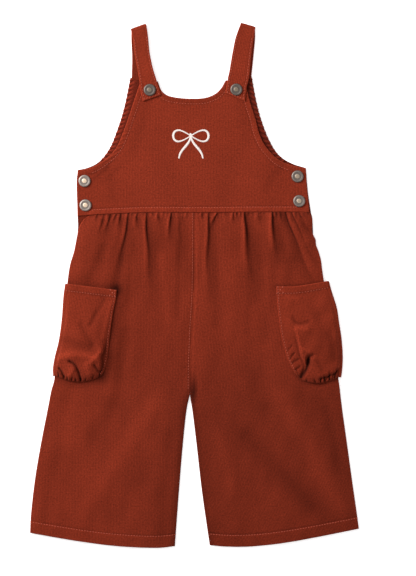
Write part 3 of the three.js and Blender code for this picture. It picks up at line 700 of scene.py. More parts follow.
# Side plackets
# A folded strip of corduroy under each side opening carries the snap studs.
# It is sewn to the back and shows as a small dark triangle below the lower snap.
LEGS = dict(
    left=dict(
        opening_front=[(-130.8, 87.1), (-138.4, 81.1), (-143.3, 72.3), (-145.9, 62)],
        opening_back=[(-145.4, 86.2), (-145, 73), (-145.9, 62)],
        side=[(-145.9, 62), (-150, 41.4), (-154.6, 26.4), (-157, 11.4), (-158.7, -5), (-162.4, -50),
              (-166.6, -80), (-171.2, -104), (-173.6, -113), (-174.8, -120), (-178, -131), (-182.5, -153.6),
              (-191.3, -198.6), (-198.8, -243.6), (-203.8, -288.6), (-204.8, -309.5)],
        inseam=[(-5.2, -137), (-8.8, -153.6), (-13.8, -198.6), (-18.8, -258.6), (-23.8, -326)],
        hem=[(-204.8, -309.5), (-145.8, -319.5), (-102.8, -325.3), (-45.3, -328.1), (-23.8, -326)],
    ),
    right=dict(
        opening_front=[(143.6, 91), (147.4, 84), (147.9, 76), (146.9, 69), (149.2, 62)],
        opening_back=[(146.3, 91), (148.0, 83), (147.9, 76), (146.9, 69), (149.2, 62)],
        side=[(149.2, 62), (151.8, 57), (152.6, 50), (155.2, 43), (158.5, 32), (160.3, 18), (162.2, 5),
              (168, -33.6), (175, -81), (181.3, -123.6), (185, -153.6), (191.3, -198.6), (197.5, -243.6),
              (203.4, -285), (206, -304.3)],
        inseam=[(-5.2, -137), (-2.5, -153.6), (2.5, -193.6), (10, -258.6), (19.6, -324.9)],
        hem=[(206, -304.3), (118.9, -320.9), (73.4, -326.3), (42, -326.6), (19.6, -324.9)],
    ),
)
PLACKET_WIDTH = 23


def placket(side):
    inward = 1 if side == "left" else -1
    bib_side = BACK_BIB["side_" + side]
    opening = LEGS[side]["opening_back"]
    outer = smooth_line([opening[-1], opening[1], *bib_side])
    run = lengths(outer)
    along = lines_over(run[-1], 2.0) * run[-1] * 0.985
    across = lines_over(PLACKET_WIDTH, 1.6)
    edge_points = np.stack([np.interp(along, run, outer[:, k]) for k in (0, 1)], axis=1)
    inwards = np.stack([inward * (0.3 + across * PLACKET_WIDTH), 0 * across], axis=1)
    plan = edge_points[:, None] + inwards[None]
    rim = np.minimum(np.minimum(across, 1 - across)[None] * PLACKET_WIDTH,
                     np.minimum(along, along[-1] - along)[:, None])
    lower = with_height(plan, FACING_UNDER)
    upper = with_height(plan, FACING_UNDER + FACING_CLOTH * thinned(rim, 1.0, 0.35))
    # The whole placket is painted darker, as shade under the opening
    piece = cloth_piece("side_placket_" + side, lower, upper, plan, rust_corduroy,
                        np.full(rim.shape, -0.4))
    stands_for(piece, "placket_" + side)


for side in ("left", "right"):
    placket(side)

# Legs
# Four panels of corduroy, wide and straight, gathered at the waist seam into uneven pleats.
# The fronts are sewn to each other down the centre and to the backs at the sides and inseams.
# Their hems are turned up and stitched once.
LEG_WIDTH, LEG_LENGTH = 165, 417
GATHERED = 0.16
SEAM_STITCH = 1.9
OPENING_END = 0.06
CROTCH = 0.548
HEM_DEPTH = 14.5
HEM_BULK = 0.7
HEM_EDGE = 1 - HEM_DEPTH / LEG_LENGTH
ON_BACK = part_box("front_leg_left")[0][2] / MM
STEP_OVER_POCKET = 1.6
SEAM_BULK = BIB_UNDER - ON_BACK
LEG_LOFT = 1.3
GATHER_LIFT = 3.4
CROTCH_Y = -137
CENTRE_SEAM = [(0.5, 90.4), (-0.5, -5), (-3.8, -66), (-5.2, -112), (-5.2, CROTCH_Y)]
SEAM_GAP = 0.04
# Pleats: x at the seam, x at the lower end, how far down, depth, half width (turned round where negative)
PLEATS = dict(
    left=[(-121, -122.5, 9, 2.2, 1.1), (-113, -119, 24, 2.2, 1.3), (-107.5, -108, 8, 1.8, 1.0),
          (-104.7, -111.2, 26, 2.3, 1.3), (-97.2, -101.2, 13, 2.3, 1.1), (-91.7, -93.7, 17, 2.4, 1.1),
          (-82.2, -96.7, 80, 2.7, 1.6), (-77.5, -77.5, 7, 1.5, 1.0), (-70.7, -71.6, 20, 2.7, 1.2),
          (-65.2, -65.2, 5, 1.1, 0.9), (-59.4, -55.5, 85, 3.0, 1.5), (-51.2, -51.2, 7, 1.6, 1.0),
          (-45, -44.8, 13, 2.0, 1.0), (-37.3, -37.3, 5, 1.3, 1.0), (-28.4, -31.1, 34, 3.0, 1.2),
          (-17, -17.5, 70, 0.8, 2.2), (-8, -8, 5, 1.0, 0.9)],
    right=[(10, 10, 7, 2.0, 1.0), (18.2, 16.6, 90, 2.9, 1.4), (28.9, 21, 18, 3.2, 1.2),
           (38, 38, 6, 1.5, 1.0), (49.5, 48.6, 12, 2.8, 1.1), (53, 53.6, 7, 2.0, 1.0),
           (57.9, 57, 9, 2.4, 1.0), (62.9, 69.9, 75, 3.9, 1.6), (68.2, 66.5, 7, 1.4, 1.0),
           (80.7, 81.3, 12, 2.2, 1.2), (87, 87, 6, 1.3, 1.0), (98, 100.6, 52, 3.8, 1.4),
           (102, 103, 6, 1.4, 1.0), (107, 110, 14, 1.2, 1.2), (114.3, 147, 78, 3.0, -1.5),
           (122, 149, 54, 2.2, -1.3), (130.7, 146, 24, 1.9, -1.2), (141.5, 145, 6, 1.6, 1.0)],
)
# Section of a pleat, in half widths from its line: the left side overhangs, the right side runs out softly
PLEAT_SECTION = ([-9, -4.5, -1.5, -0.6, 0.4, 1.8, 5, 12], [0, 0.16, 0.34, 0.12, -0.55, -0.66, -0.50, 0])
# Broad folds: places along it, depth (a ridge where negative), half width
BROAD_FOLDS = dict(
    left=[([(-39, 35), (-34, -10), (-30, -47)], -1.0, 6),
          ([(-17.5, 53), (-17.5, 10), (-18, -40)], 1.0, 5),
          ([(-87, 82), (-92, 40), (-99, -4)], 2.0, 5), ([(-79, 60), (-84, 20), (-88, -20)], -0.8, 5),
          ([(-112, 47), (-121, 25), (-128, 8)], 1.2, 6), ([(-104, 50), (-109, 20), (-114, -4)], -0.8, 5),
          ([(-47, -152), (-90, -214), (-138, -284)], -1.8, 15), ([(-146, -146), (-152, -195)], -1.4, 13),
          ([(-24, -190), (-32, -250), (-38, -312)], 1.6, 11), ([(-98, -150), (-122, -186)], 1.3, 12),
          ([(-60, -225), (-100, -290)], 1.2, 14), ([(-170, -215), (-188, -290)], 1.0, 10),
          ([(-60, -60), (-66, -120)], 0.8, 10), ([(-84, -60), (-92, -118)], 1.3, 9)],
    right=[([(83, 60), (84, 20), (88, -30), (92, -70)], 0.9, 7), ([(100, 40), (101, 0), (98, -32)], 1.0, 6),
           ([(46, 60), (48, 0), (46, -60)], -0.7, 8), ([(28, 62), (29, 0), (28, -50)], 0.8, 6),
           ([(74, 14), (77, -20)], 1.0, 6), ([(124, 30), (118, 4)], 1.0, 7),
           ([(71, 20), (70, -20), (68, -60)], 0.6, 5), ([(132, 85), (139, 77), (146, 69)], -1.6, 1.8),
           ([(126, 76), (134, 61), (143, 47), (154, 31)], -1.5, 2.0),
           ([(111, -144), (148, -205), (182, -277)], -2.2, 13),
           ([(66, -190), (108, -235), (149, -277)], 2.0, 13),
           ([(166, -156), (178, -195), (186, -231)], 1.8, 9), ([(32, -190), (42, -225), (49, -260)], -1.5, 9),
           ([(12, -200), (22, -260), (26, -312)], 1.0, 7), ([(70, -110), (90, -150)], 0.9, 12)],
)
CLEFT = dict(x=-0.8, y=-129, across=5.0, down=15, depth=2.2)
# Patches of painted light and shade, where the nap catches the light more or less: x, y, reach across and
# down, tone
TONE_PATCHES = dict(
    left=[(-44, -200, 20, 52, 0.08), (-122, -160, 18, 25, 0.04), (-98, -220, 22, 28, -0.03),
          (-32, 15, 6, 45, 0.05), (-77, -180, 24, 30, -0.04), (-180, -231, 12, 40, 0.05),
          (-149, -281, 25, 25, -0.04)],
    right=[(7, -88, 9, 25, 0.08), (135, -190, 16, 40, -0.05), (151, -256, 16, 35, 0.04),
           (42, -237, 12, 30, -0.05), (82, -231, 16, 45, 0.03)],
)
# Outlines and folds of the pockets, which the legs need for the soft shade around them
# A tuck is its share of the bottom edge and its depth. The brow is the line along which the bulge hangs over.
POCKETS = dict(
    left=dict(
        top=[(-96.4, -6.1), (-128, -2), (-160.9, 1.6)],
        stitched=[(-96.4, -6.1), (-97.6, -17.4), (-101.1, -34.6), (-105, -62.4), (-107.9, -91.1),
                  (-110.8, -103.6), (-115.5, -113.1)],
        bottom=[(-115.5, -113.1), (-128.9, -118.9), (-141.3, -120.8), (-157.5, -118.9), (-176, -113.6)],
        side=[(-160.9, 1.6), (-162.9, -12.4), (-165.3, -43.3), (-169, -69.9), (-173.9, -89.9),
              (-176.2, -104), (-176, -113.6)],
        tucks=[(0.08, 1.3), (0.22, 1.0), (0.37, 0.9), (0.46, 1.3), (0.56, 1.0), (0.65, 1.2), (0.73, 1.1),
               (0.81, 1.2), (0.92, 1.5)],
        brow=[(-97, -10), (-99.5, -22), (-102, -38), (-105.5, -55), (-109.5, -68.6), (-113, -81.1),
              (-116.5, -89.9), (-115.6, -98.6), (-118.5, -112)],
        folds=[([(-154.8, -94.9), (-148.8, -98.6), (-143.8, -107.4), (-141, -118)], 3.3, 1.8),
               ([(-168.1, -103.6), (-165, -107.4), (-162, -114)], 3.0, 1.5),
               ([(-112.5, -16.1), (-120, -32.4), (-128.8, -49.9)], 1.1, 3.2),
               ([(-103, -24), (-108, -45), (-113, -66)], -0.8, 3.2),
               ([(-140, -50), (-134, -62), (-126, -74)], 0.9, 4.0),
               ([(-167.5, -90.6), (-152.5, -87.2), (-137.5, -88.2), (-121.2, -92)], -2.1, 4.4),
               ([(-162, -69), (-148, -73), (-130, -77)], 0.8, 5.5),
               ([(-128, -96), (-122, -90), (-117, -84)], -1.2, 3.0),
               ([(-123.8, -99.9), (-121, -104), (-118.8, -107.4)], 2.4, 1.6),
               ([(-133, -100), (-130, -110)], -1.2, 4.0),
               ([(-150, -104), (-155, -113)], -1.3, 3.4)],
    ),
    right=dict(
        top=[(102.6, -1.6), (128, -1.1), (168.6, 5)],
        stitched=[(102.6, -1.6), (103.6, -19.4), (105.5, -38.5), (108.4, -60.5), (112.6, -78.6),
                  (117.5, -94), (125.1, -109.3)],
        bottom=[(125.1, -109.3), (134.6, -117.9), (146.1, -121.8), (157.6, -122.3), (170, -118.9),
                (183.9, -115)],
        side=[(168.6, 5), (171.5, -6), (178.6, -29), (181.5, -48.1), (184.4, -67.3), (185.9, -91.1),
              (185, -107), (183.9, -115)],
        tucks=[(0.14, 1.0), (0.33, 0.7), (0.50, 1.2), (0.60, 1.7), (0.69, 1.9), (0.79, 2.1), (0.90, 2.2)],
        brow=[(103, -8), (107, -20), (117.5, -33), (123.8, -46.7), (127, -59.2), (131, -78), (133.3, -87.4),
              (138.1, -99.9), (133, -117)],
        folds=[([(147, -87.5), (143.4, -89.5), (141.9, -97)], 3.0, 2.8),
               ([(142.2, -93), (141.6, -99), (139.6, -105), (134, -114.5)], 4.4, 2.5),
               ([(157, -117), (168, -113), (176, -109), (181, -104)], 2.0, 1.5),
               ([(164, -119), (167, -114)], 2.0, 1.2), ([(172, -117.5), (174, -111)], 2.2, 1.2),
               ([(179, -115.5), (180, -108)], 2.2, 1.2),
               ([(123.8, -41), (128, -47), (135, -48), (142, -46)], 1.2, 2.6),
               ([(129, -54), (141, -55)], -1.5, 3.8), ([(127.5, -56), (130.5, -68), (134, -82)], -0.8, 2.6),
               ([(117.5, -94.9), (121, -90), (125, -85)], 2.3, 1.2),
               ([(120, -99.9), (125, -95), (130, -92.4)], 2.5, 1.2),
               ([(124.4, -107.4), (132.5, -101.1)], 2.2, 1.3),
               ([(115, -83.6), (121.9, -76.1)], 1.5, 1.2),
               ([(136.2, -81.1), (143.8, -83), (148.8, -89.9)], -1.3, 3.0),
               ([(155, -96.1), (160, -106.1)], 1.0, 3.0),
               ([(112, -10), (120, -16), (130, -18)], -0.8, 5.0),
               ([(150, -30), (160, -60), (158, -84)], 0.7, 7.0),
               ([(170, -62), (176, -92)], 0.8, 5.0)],
    ),
)


def leg_place(side, opening, drop=SEAM_GAP, lean=0.0):
    """The panel's places; drop lowers its waist edge and lean moves the top of its centre seam sideways."""
    outline = LEGS[side]
    shift = (-0.5 if side == "left" else 0.5) * SEAM_GAP
    moved = [(x + shift + lean * (y - CROTCH_Y) / (CENTRE_SEAM[0][1] - CROTCH_Y), y) for x, y in CENTRE_SEAM]
    start = (opening[0][0], float(waist_height(opening[0][0])) - drop)
    return patch(
        waist_edge(opening[0][0], moved[0][0], drop),
        edge((1, outline["hem"])),
        edge((OPENING_END, [start, *opening[1:]]), (1, outline["side"])),
        edge((CROTCH, [(moved[0][0], moved[0][1] - drop), *moved[1:]]),
             (1, [(x + shift, y) for x, y in outline["inseam"]])),
    )


def leg_lines(across, down, gathers):
    """Columns and rows of a leg at these steps, with more rows where it is gathered."""
    rows = np.concatenate([lines_over(LEG_LENGTH, down, (0, HEM_EDGE, 1)), np.linspace(0, GATHERED, gathers)])
    return lines_over(LEG_WIDTH, across), np.unique(rows)


def leg_seams(place, beside_centre):
    """The stitched lines of a leg: its hem and, where beside_centre isn't 0, its centre seam."""
    seams = [place(np.linspace(0.004, 0.996, 160), [HEM_EDGE])[0]]
    if beside_centre:
        seams.append(place([1], np.linspace(0.004, CROTCH - 0.02, 120))[:, 0] + np.array([beside_centre, 0]))
    return seams


def over_pocket(u, v):
    """1 where the pocket's back half lies under the leg, falling to 0 around it."""
    down = np.minimum(np.clip((v - 0.15) / 0.035, 0, 1), 1 - np.clip((v - CROTCH) / 0.042, 0, 1))
    return down[:, None] * (1 - np.clip((u - 0.43) / 0.07, 0, 1))[None]


def pleats_at(x, down, pleats):
    """Relief of the gathers, and the shade painted into their creases, with a painted highlight beside each.
    """
    relief, pleat_shading = np.zeros(np.shape(x)), np.zeros(np.shape(x))
    for top, end, run, depth, width in pleats:
        t = np.clip(down / run, 0, 1.6)
        wide = width * (0.75 + 0.8 * t)
        sway = 0.5 * width * np.sin(down / (5 + 2 * depth) + top) * ease(0, 0.3, t)
        off = (x - sway - (top + (end - top) * t**1.2)) / wide
        fade = 1 - ease(0.35, 1.2, t)
        relief += 0.85 * depth * np.interp(off, *PLEAT_SECTION) * fade * ease(-1, 4, down)
        pleat_shading += (0.13 + 0.17 * depth) * groove(off, 0.65) * (1 - ease(0.15, 0.7, t))
        pleat_shading += 0.11 * depth * np.interp(off, [-0.6, 0.8, 3, 8], [0, 1, 0.6, 0]) * (1 - ease(0.6, 1.5, t))
        pleat_shading -= 0.085 * depth * groove(off + 2.4, 1.6) * (1 - ease(0.4, 1.1, t))
    return relief, np.minimum(pleat_shading, 0.7)


def front_leg(side):
    place = leg_place(side, LEGS[side]["opening_front"])
    columns, rows = leg_lines(0.95, 2.6, 44)
    plan = place(columns, rows)
    x, y = plan[..., 0], plan[..., 1]
    down = waist_height(x) - SEAM_GAP - y
    from_side = distance_to(plan[:, 0], plan)
    from_centre = distance_to(plan[:, -1], plan)
    from_hem = distance_to(plan[-1], plan)
    fold = np.minimum(from_side, from_centre)
    lift = GATHER_LIFT * ease(-1, 6, down) * (1 - ease(16, 100, down))
    lift = lift * (0.35 + 0.65 * ease(2, 16, from_side))
    lift = lift * (1 + 0.22 * unevenness(x, y * 0.3, 17, 21))
    puckers = unevenness(x, y * 0.12, 6.5, 33) * groove(down - 2, 5.5)
    loft = LEG_LOFT * (1 - (1 - np.clip(fold / 16, 0, 1)) ** 2) * ease(0, 20, down)
    seam = SEAM_BULK * (1 - ease(26, 60, down))
    pleats, pleat_shading = pleats_at(x, down, PLEATS[side])
    broad = fold_relief(plan, BROAD_FOLDS[side]) * ease(2, 20, fold)
    hollow = (groove(x - CLEFT["x"], CLEFT["across"]) * groove(y - CLEFT["y"], CLEFT["down"])
              * (side == "right"))
    wander = 0.5 * unevenness(x, y * 0.4, 60, 23) * ease(5, 40, fold) + 0.18 * unevenness(x, y * 0.5, 21, 27)
    body = lift + pleats + 0.8 * puckers + loft + 0.7 * broad + wander - CLEFT["depth"] * hollow
    base = ON_BACK + STEP_OVER_POCKET * over_pocket(columns, rows) + seam * ease(0, 12, from_side + 4)
    hem_wave = 0.35 * unevenness(x, y, 34, 25) * groove(from_hem, 26) * ease(3, 20, fold)
    under = base + np.maximum(body + hem_wave, 0)
    hem = turned_edge(from_hem, HEM_DEPTH, HEM_BULK)
    on_seam = (1 - ease(CROTCH - 0.03, CROTCH + 0.01, rows))[:, None]
    seam_line = (-0.2 * groove(from_centre - SEAM_STITCH, 0.8) + 0.25 * groove(from_centre - 4, 2.2)
                 * (1 + unevenness(x, y, 9, 29))) * on_seam
    rim = np.minimum.reduce([from_side, from_centre + 0.9 * on_seam, from_hem, np.maximum(down, 0)])
    thickness = (CLOTH + hem + seam_line) * thinned(rim, 1.3, 0.28)
    outline = POCKETS[side]
    # Painted shadow on the leg round the pocket
    from_pocket = np.minimum(distance_to(smooth_line(outline["top"], 6), plan),
                             distance_to(smooth_line(outline["bottom"], 6), plan))
    beside_it = distance_to(smooth_line(outline["stitched"], 6), plan)
    pocket_shadow = (0.26 * groove(from_pocket, 7.0) + 0.36 * groove(beside_it, 10.0) if side == "left"
                   else 0.24 * groove(from_pocket, 3.0))
    # The listed patches of painted light and shade
    brushed = sum(tone * groove(x - at_x, wide) * groove(y - at_y, tall)
                  for at_x, at_y, wide, tall, tone in TONE_PATCHES[side])
    # Painted shade over whole regions: both legs darker, the lower legs and the right leg most, a darker band
    # at the right hip, low on the right leg darker towards its side and lighter in the middle, the left hip
    # painted lighter
    low, hip = 1 - ease(-170, -20, y), ease(-20, 40, y)
    if side == "right":
        shade = (-0.11 - 0.17 * low - 0.07 * groove(x - 122, 15) * hip
                 - 0.08 * (1 - ease(-215, -150, y)) * (groove(x - 168, 36) - 0.7 * groove(x - 95, 34)))
    else:
        shade = (-0.13 - 0.15 * low * ease(-80, -15, x) - 0.03 * ease(-20, 30, y)
                 + 0.09 * (1 - ease(-148, -124, x)) * hip)
    # Painted light and shade in the leg's colour: rims lighter as highlight and wear; the pleat creases, the
    # line under the waist seam, the crotch cleft and the ground round the pocket painted dark as shade;
    # puckers and broad folds painted lighter and darker; the centre seam dark with lighter sides; the inseam
    # edges and the line beside the hem stitch painted darker as shade; and the listed patches
    wear_and_painted_shading = (shade + 0.30 * groove(rim, 0.9) - pleat_shading - 0.30 * groove(down, 1.0) - 0.50 * hollow - pocket_shadow
            + 0.16 * puckers + 0.08 * broad - 0.10 * groove(from_centre, 1.0)
            + (0.10 * groove(from_centre - 3.6, 1.2) + 0.05 * groove(from_centre - 9, 9)) * on_seam
            - 0.24 * groove(from_centre, 6.0) * (1 - on_seam) + brushed
            - 0.14 * groove(from_hem - HEM_DEPTH - 1.3, 1.0))
    lower, upper = with_height(plan, under), with_height(plan, under + np.maximum(thickness, 0.3))
    grain = np.linalg.norm(np.diff(upper, axis=1), axis=2)
    grain = np.concatenate([np.zeros((len(rows), 1)), np.cumsum(grain, axis=1)], axis=1)
    grain = plan[:, -1:, 0] + grain - grain[:, -1:]
    cloth = np.stack([grain, y], axis=2)
    piece = cloth_piece("leg_front_" + side, lower, upper, cloth, rust_corduroy, wear_and_painted_shading)
    stands_for(piece, "front_leg_" + side)
    topstitch("leg_" + side, leg_seams(place, -SEAM_STITCH if side == "left" else 0), piece, 31)


def back_leg(side):
    place = leg_place(side, LEGS[side]["opening_back"], 1.0 + SEAM_GAP, 1.6)
    columns, rows = leg_lines(1.6, 4.0, 30)
    plan = place(columns, rows)
    x, y = plan[..., 0], plan[..., 1]
    down = waist_height(x) - y
    from_hem, from_centre = distance_to(plan[-1], plan), distance_to(plan[:, -1], plan)
    rim = np.minimum.reduce([distance_to(plan[:, 0], plan), from_centre, from_hem])
    shifted = [(top + 3.5, end + 2.0, run * 0.8, depth, width)
               for top, end, run, depth, width in PLEATS[side]]
    pleats, pleat_shading = pleats_at(x, down, shifted)
    hollow = (np.maximum(-0.4 * pleats, 0) + 0.3 * np.maximum(-fold_relief(plan, BROAD_FOLDS[side]), 0)
              + 0.42 * groove(from_hem - HEM_DEPTH, 1.6) + 0.35 * groove(from_centre - SEAM_STITCH, 1.2))
    under = STEP_OVER_POCKET * over_pocket(columns, rows)
    lower = with_height(plan, under + np.minimum(hollow + 0.4 * (1 - rounded(rim, 1.0)), 0.8))
    upper = with_height(plan, under + CLOTH * thinned(rim, 1.0, 0.7))
    # Painted darker overall, with painted shade in its pleat creases
    piece = cloth_piece("leg_back_" + side, lower, upper, plan, rust_corduroy, -0.14 - 0.8 * pleat_shading)
    stands_for(piece, "back_leg_" + side)
    seams = leg_seams(place, SEAM_STITCH if side == "right" else 0)
    topstitch("leg_back_" + side, seams, piece, 37, below=True)


for side in ("left", "right"):
    front_leg(side)
    back_leg(side)

# Straps
# Each strap is corduroy turned double, stitched along both edges, and sewn into the back bib.
# It folds over at the shoulder and comes down as a square tab that snaps on to the bib.
STRAP_WIDTH, STRAP_FLAT = 20, 22
STRAP_CLOTH = 2.0
ON_BIB = BIB_UNDER + CLOTH + 0.3
STRAP_STITCH = 2.4
# Stations of a strap up its back, at its crease and down its front: outer edge, inner edge
STRAPS = dict(
    left=dict(
        back=[((-77.9, 256.6, 0), (-57.9, 255.4, 0)), ((-77.4, 285, 0), (-57.8, 285, 0)),
              ((-78.3, 306, 0), (-59.4, 310, 0))],
        crease=((-79.3, 320), (-60.3, 326.9)),
        front=[((-75.8, 305.1, 2.9), (-57.2, 309.5, 2.9)), ((-73.9, 287.6, 2.6), (-55.3, 290.4, 2.6)),
               ((-71, 273, 3.4), (-52.6, 276.5, 3.4)), ((-69.2, 262, 4.4), (-49.9, 266, 4.4)),
               ((-68, 254.5, ON_BIB), (-47.6, 259, ON_BIB)), ((-66.9, 244, ON_BIB), (-45.4, 250.3, ON_BIB)),
               ((-63.8, 229.3, ON_BIB), (-41.3, 237.1, ON_BIB))],
    ),
    right=dict(
        back=[((71.5, 258.6, 0), (51.4, 257.2, 0)), ((74.6, 288, 0), (54.6, 288.5, 0)),
              ((76.4, 308, 0), (56.9, 311.5, 0))],
        crease=((77.1, 322.5), (58.7, 328)),
        front=[((73.9, 305, 2.9), (51.9, 308.9, 2.9)), ((72, 291, 2.6), (48.7, 293.5, 2.6)),
               ((70.3, 275, 3.4), (45.9, 277.5, 3.4)), ((69.1, 264, 4.4), (44.1, 266.5, 4.4)),
               ((68, 256, ON_BIB), (42.5, 259.5, ON_BIB)), ((65.2, 245, ON_BIB), (41.2, 251, ON_BIB)),
               ((63.5, 229.3, ON_BIB), (39.1, 239.4, ON_BIB))],
    ),
)


def grid_normals(points):
    """Unit normals of a grid of points."""
    along, down = np.gradient(points, axis=1), np.gradient(points, axis=0)
    normal = np.cross(along, down)
    return normal / np.maximum(np.linalg.norm(normal, axis=2, keepdims=True), 1e-9)


def shoulder_fold(strap):
    """The stations where a strap turns over its crease."""
    half_cloth = STRAP_CLOTH / 2
    low, high = strap["back"][-1][0][2] + half_cloth, strap["front"][0][0][2] + half_cloth
    radius = (high - low) / 2
    outer, inner = (np.array(p, float) for p in strap["crease"])
    line = (inner - outer) / np.linalg.norm(inner - outer)
    away = np.array([-line[1], line[0]]) * (1 if line[0] > 0 else -1)
    stations = []
    for angle in np.linspace(-math.pi / 2, math.pi / 2, 9):
        move = away * (radius * math.cos(angle) - radius - half_cloth)
        height = (low + high) / 2 + radius * math.sin(angle) - half_cloth
        stations.append(((*(outer + move), height), (*(inner + move), height)))
    return stations


def wall_about(middle, probe, outside, inside):
    """Both faces of a wall about a middle sheet, whose probe point faces up; none of it under the table."""
    normal = grid_normals(middle)
    if normal[probe][2] < 0:
        normal = -normal
    lower, upper = middle - normal * inside, middle + normal * outside
    for grid in (lower, upper):
        grid[..., 2] = np.maximum(grid[..., 2], 0)
    return lower, upper


def strap(side):
    shape = STRAPS[side]
    stations = [*shape["back"], *shoulder_fold(shape), *shape["front"]]
    outer = smooth_line([s[0] for s in stations], 8)
    inner = smooth_line([s[1] for s in stations], 8)
    run = lengths((outer + inner) / 2)
    along = lines_over(run[-1], 1.5) * run[-1]
    outer, inner = (np.stack([np.interp(along, run, e[:, k]) for k in (0, 1, 2)], axis=1)
                    for e in (outer, inner))
    across = lines_over(STRAP_WIDTH, 0.9)
    middle = outer[:, None] * (1 - across[None, :, None]) + inner[:, None] * across[None, :, None]
    middle[..., 2] += STRAP_CLOTH / 2
    wide = np.linalg.norm(outer - inner, axis=1)[:, None]
    from_edge = np.minimum(across, 1 - across)[None] * wide
    rim = np.minimum(from_edge, (along[-1] - along)[:, None])
    thick = STRAP_CLOTH * thinned(rim, 1.0, 0.15)
    thick = thick - 0.4 * groove(rim - STRAP_STITCH, 0.7)
    flutter = 0.12 * unevenness(middle[..., 0], middle[..., 1], 13, 41 if side == "left" else 43)
    lower, upper = wall_about(middle, (-1, 0), (thick / 2 + np.maximum(flutter, 0))[..., None],
                              thick[..., None] / 2)
    cloth = np.stack(np.broadcast_arrays(across[None] * STRAP_FLAT, along[:, None]), axis=2)
    # The part behind the fold is painted darker as shade, its underside more; rims lighter as highlight and
    # wear, painted shade beside the stitching
    behind = 1 - ease(0.34, 0.385, along / along[-1])[:, None]
    wear_and_painted_shading = 0.36 * groove(rim, 0.8) - 0.12 * groove(rim - STRAP_STITCH - 1.2, 0.9) + 0.03
    in_shade = behind * (0.24 if side == "left" else 0.12)
    piece = cloth_piece("shoulder_strap_" + side, lower, upper, cloth, rust_corduroy, wear_and_painted_shading - 0.04 * behind,
                        wear_and_painted_shading - in_shade)
    stands_for(piece, "strap_" + side)
    front = along > along[-1] * 0.52
    share = STRAP_STITCH / float(wide[-1, 0])
    last = int(np.searchsorted(along, along[-1] - STRAP_STITCH))
    edges = [(outer * (1 - t) + inner * t)[front][:last - len(along), :2] for t in (share, 1 - share)]
    end = [outer[last, :2] * (1 - t) + inner[last, :2] * t for t in np.linspace(share, 1 - share, 12)]
    topstitch("strap_" + side, [*edges, np.array(end)], piece, 51)


for side in ("left", "right"):
    strap(side)

# Pockets
# Bubble patch pockets of the same corduroy: a turned and stitched top, a bottom gathered into tucks.
# Each is sewn on round the side seam, so half of it lies on the front and half under the back.
POCKET_WIDTH, POCKET_HEIGHT = 66, 122
POCKET_CLOTH = 1.3
POCKET_TURN = POCKET_CLOTH / 2 + ON_BACK + 0.15
POCKET_HEM = 8.6
POCKET_STITCH = 2.0


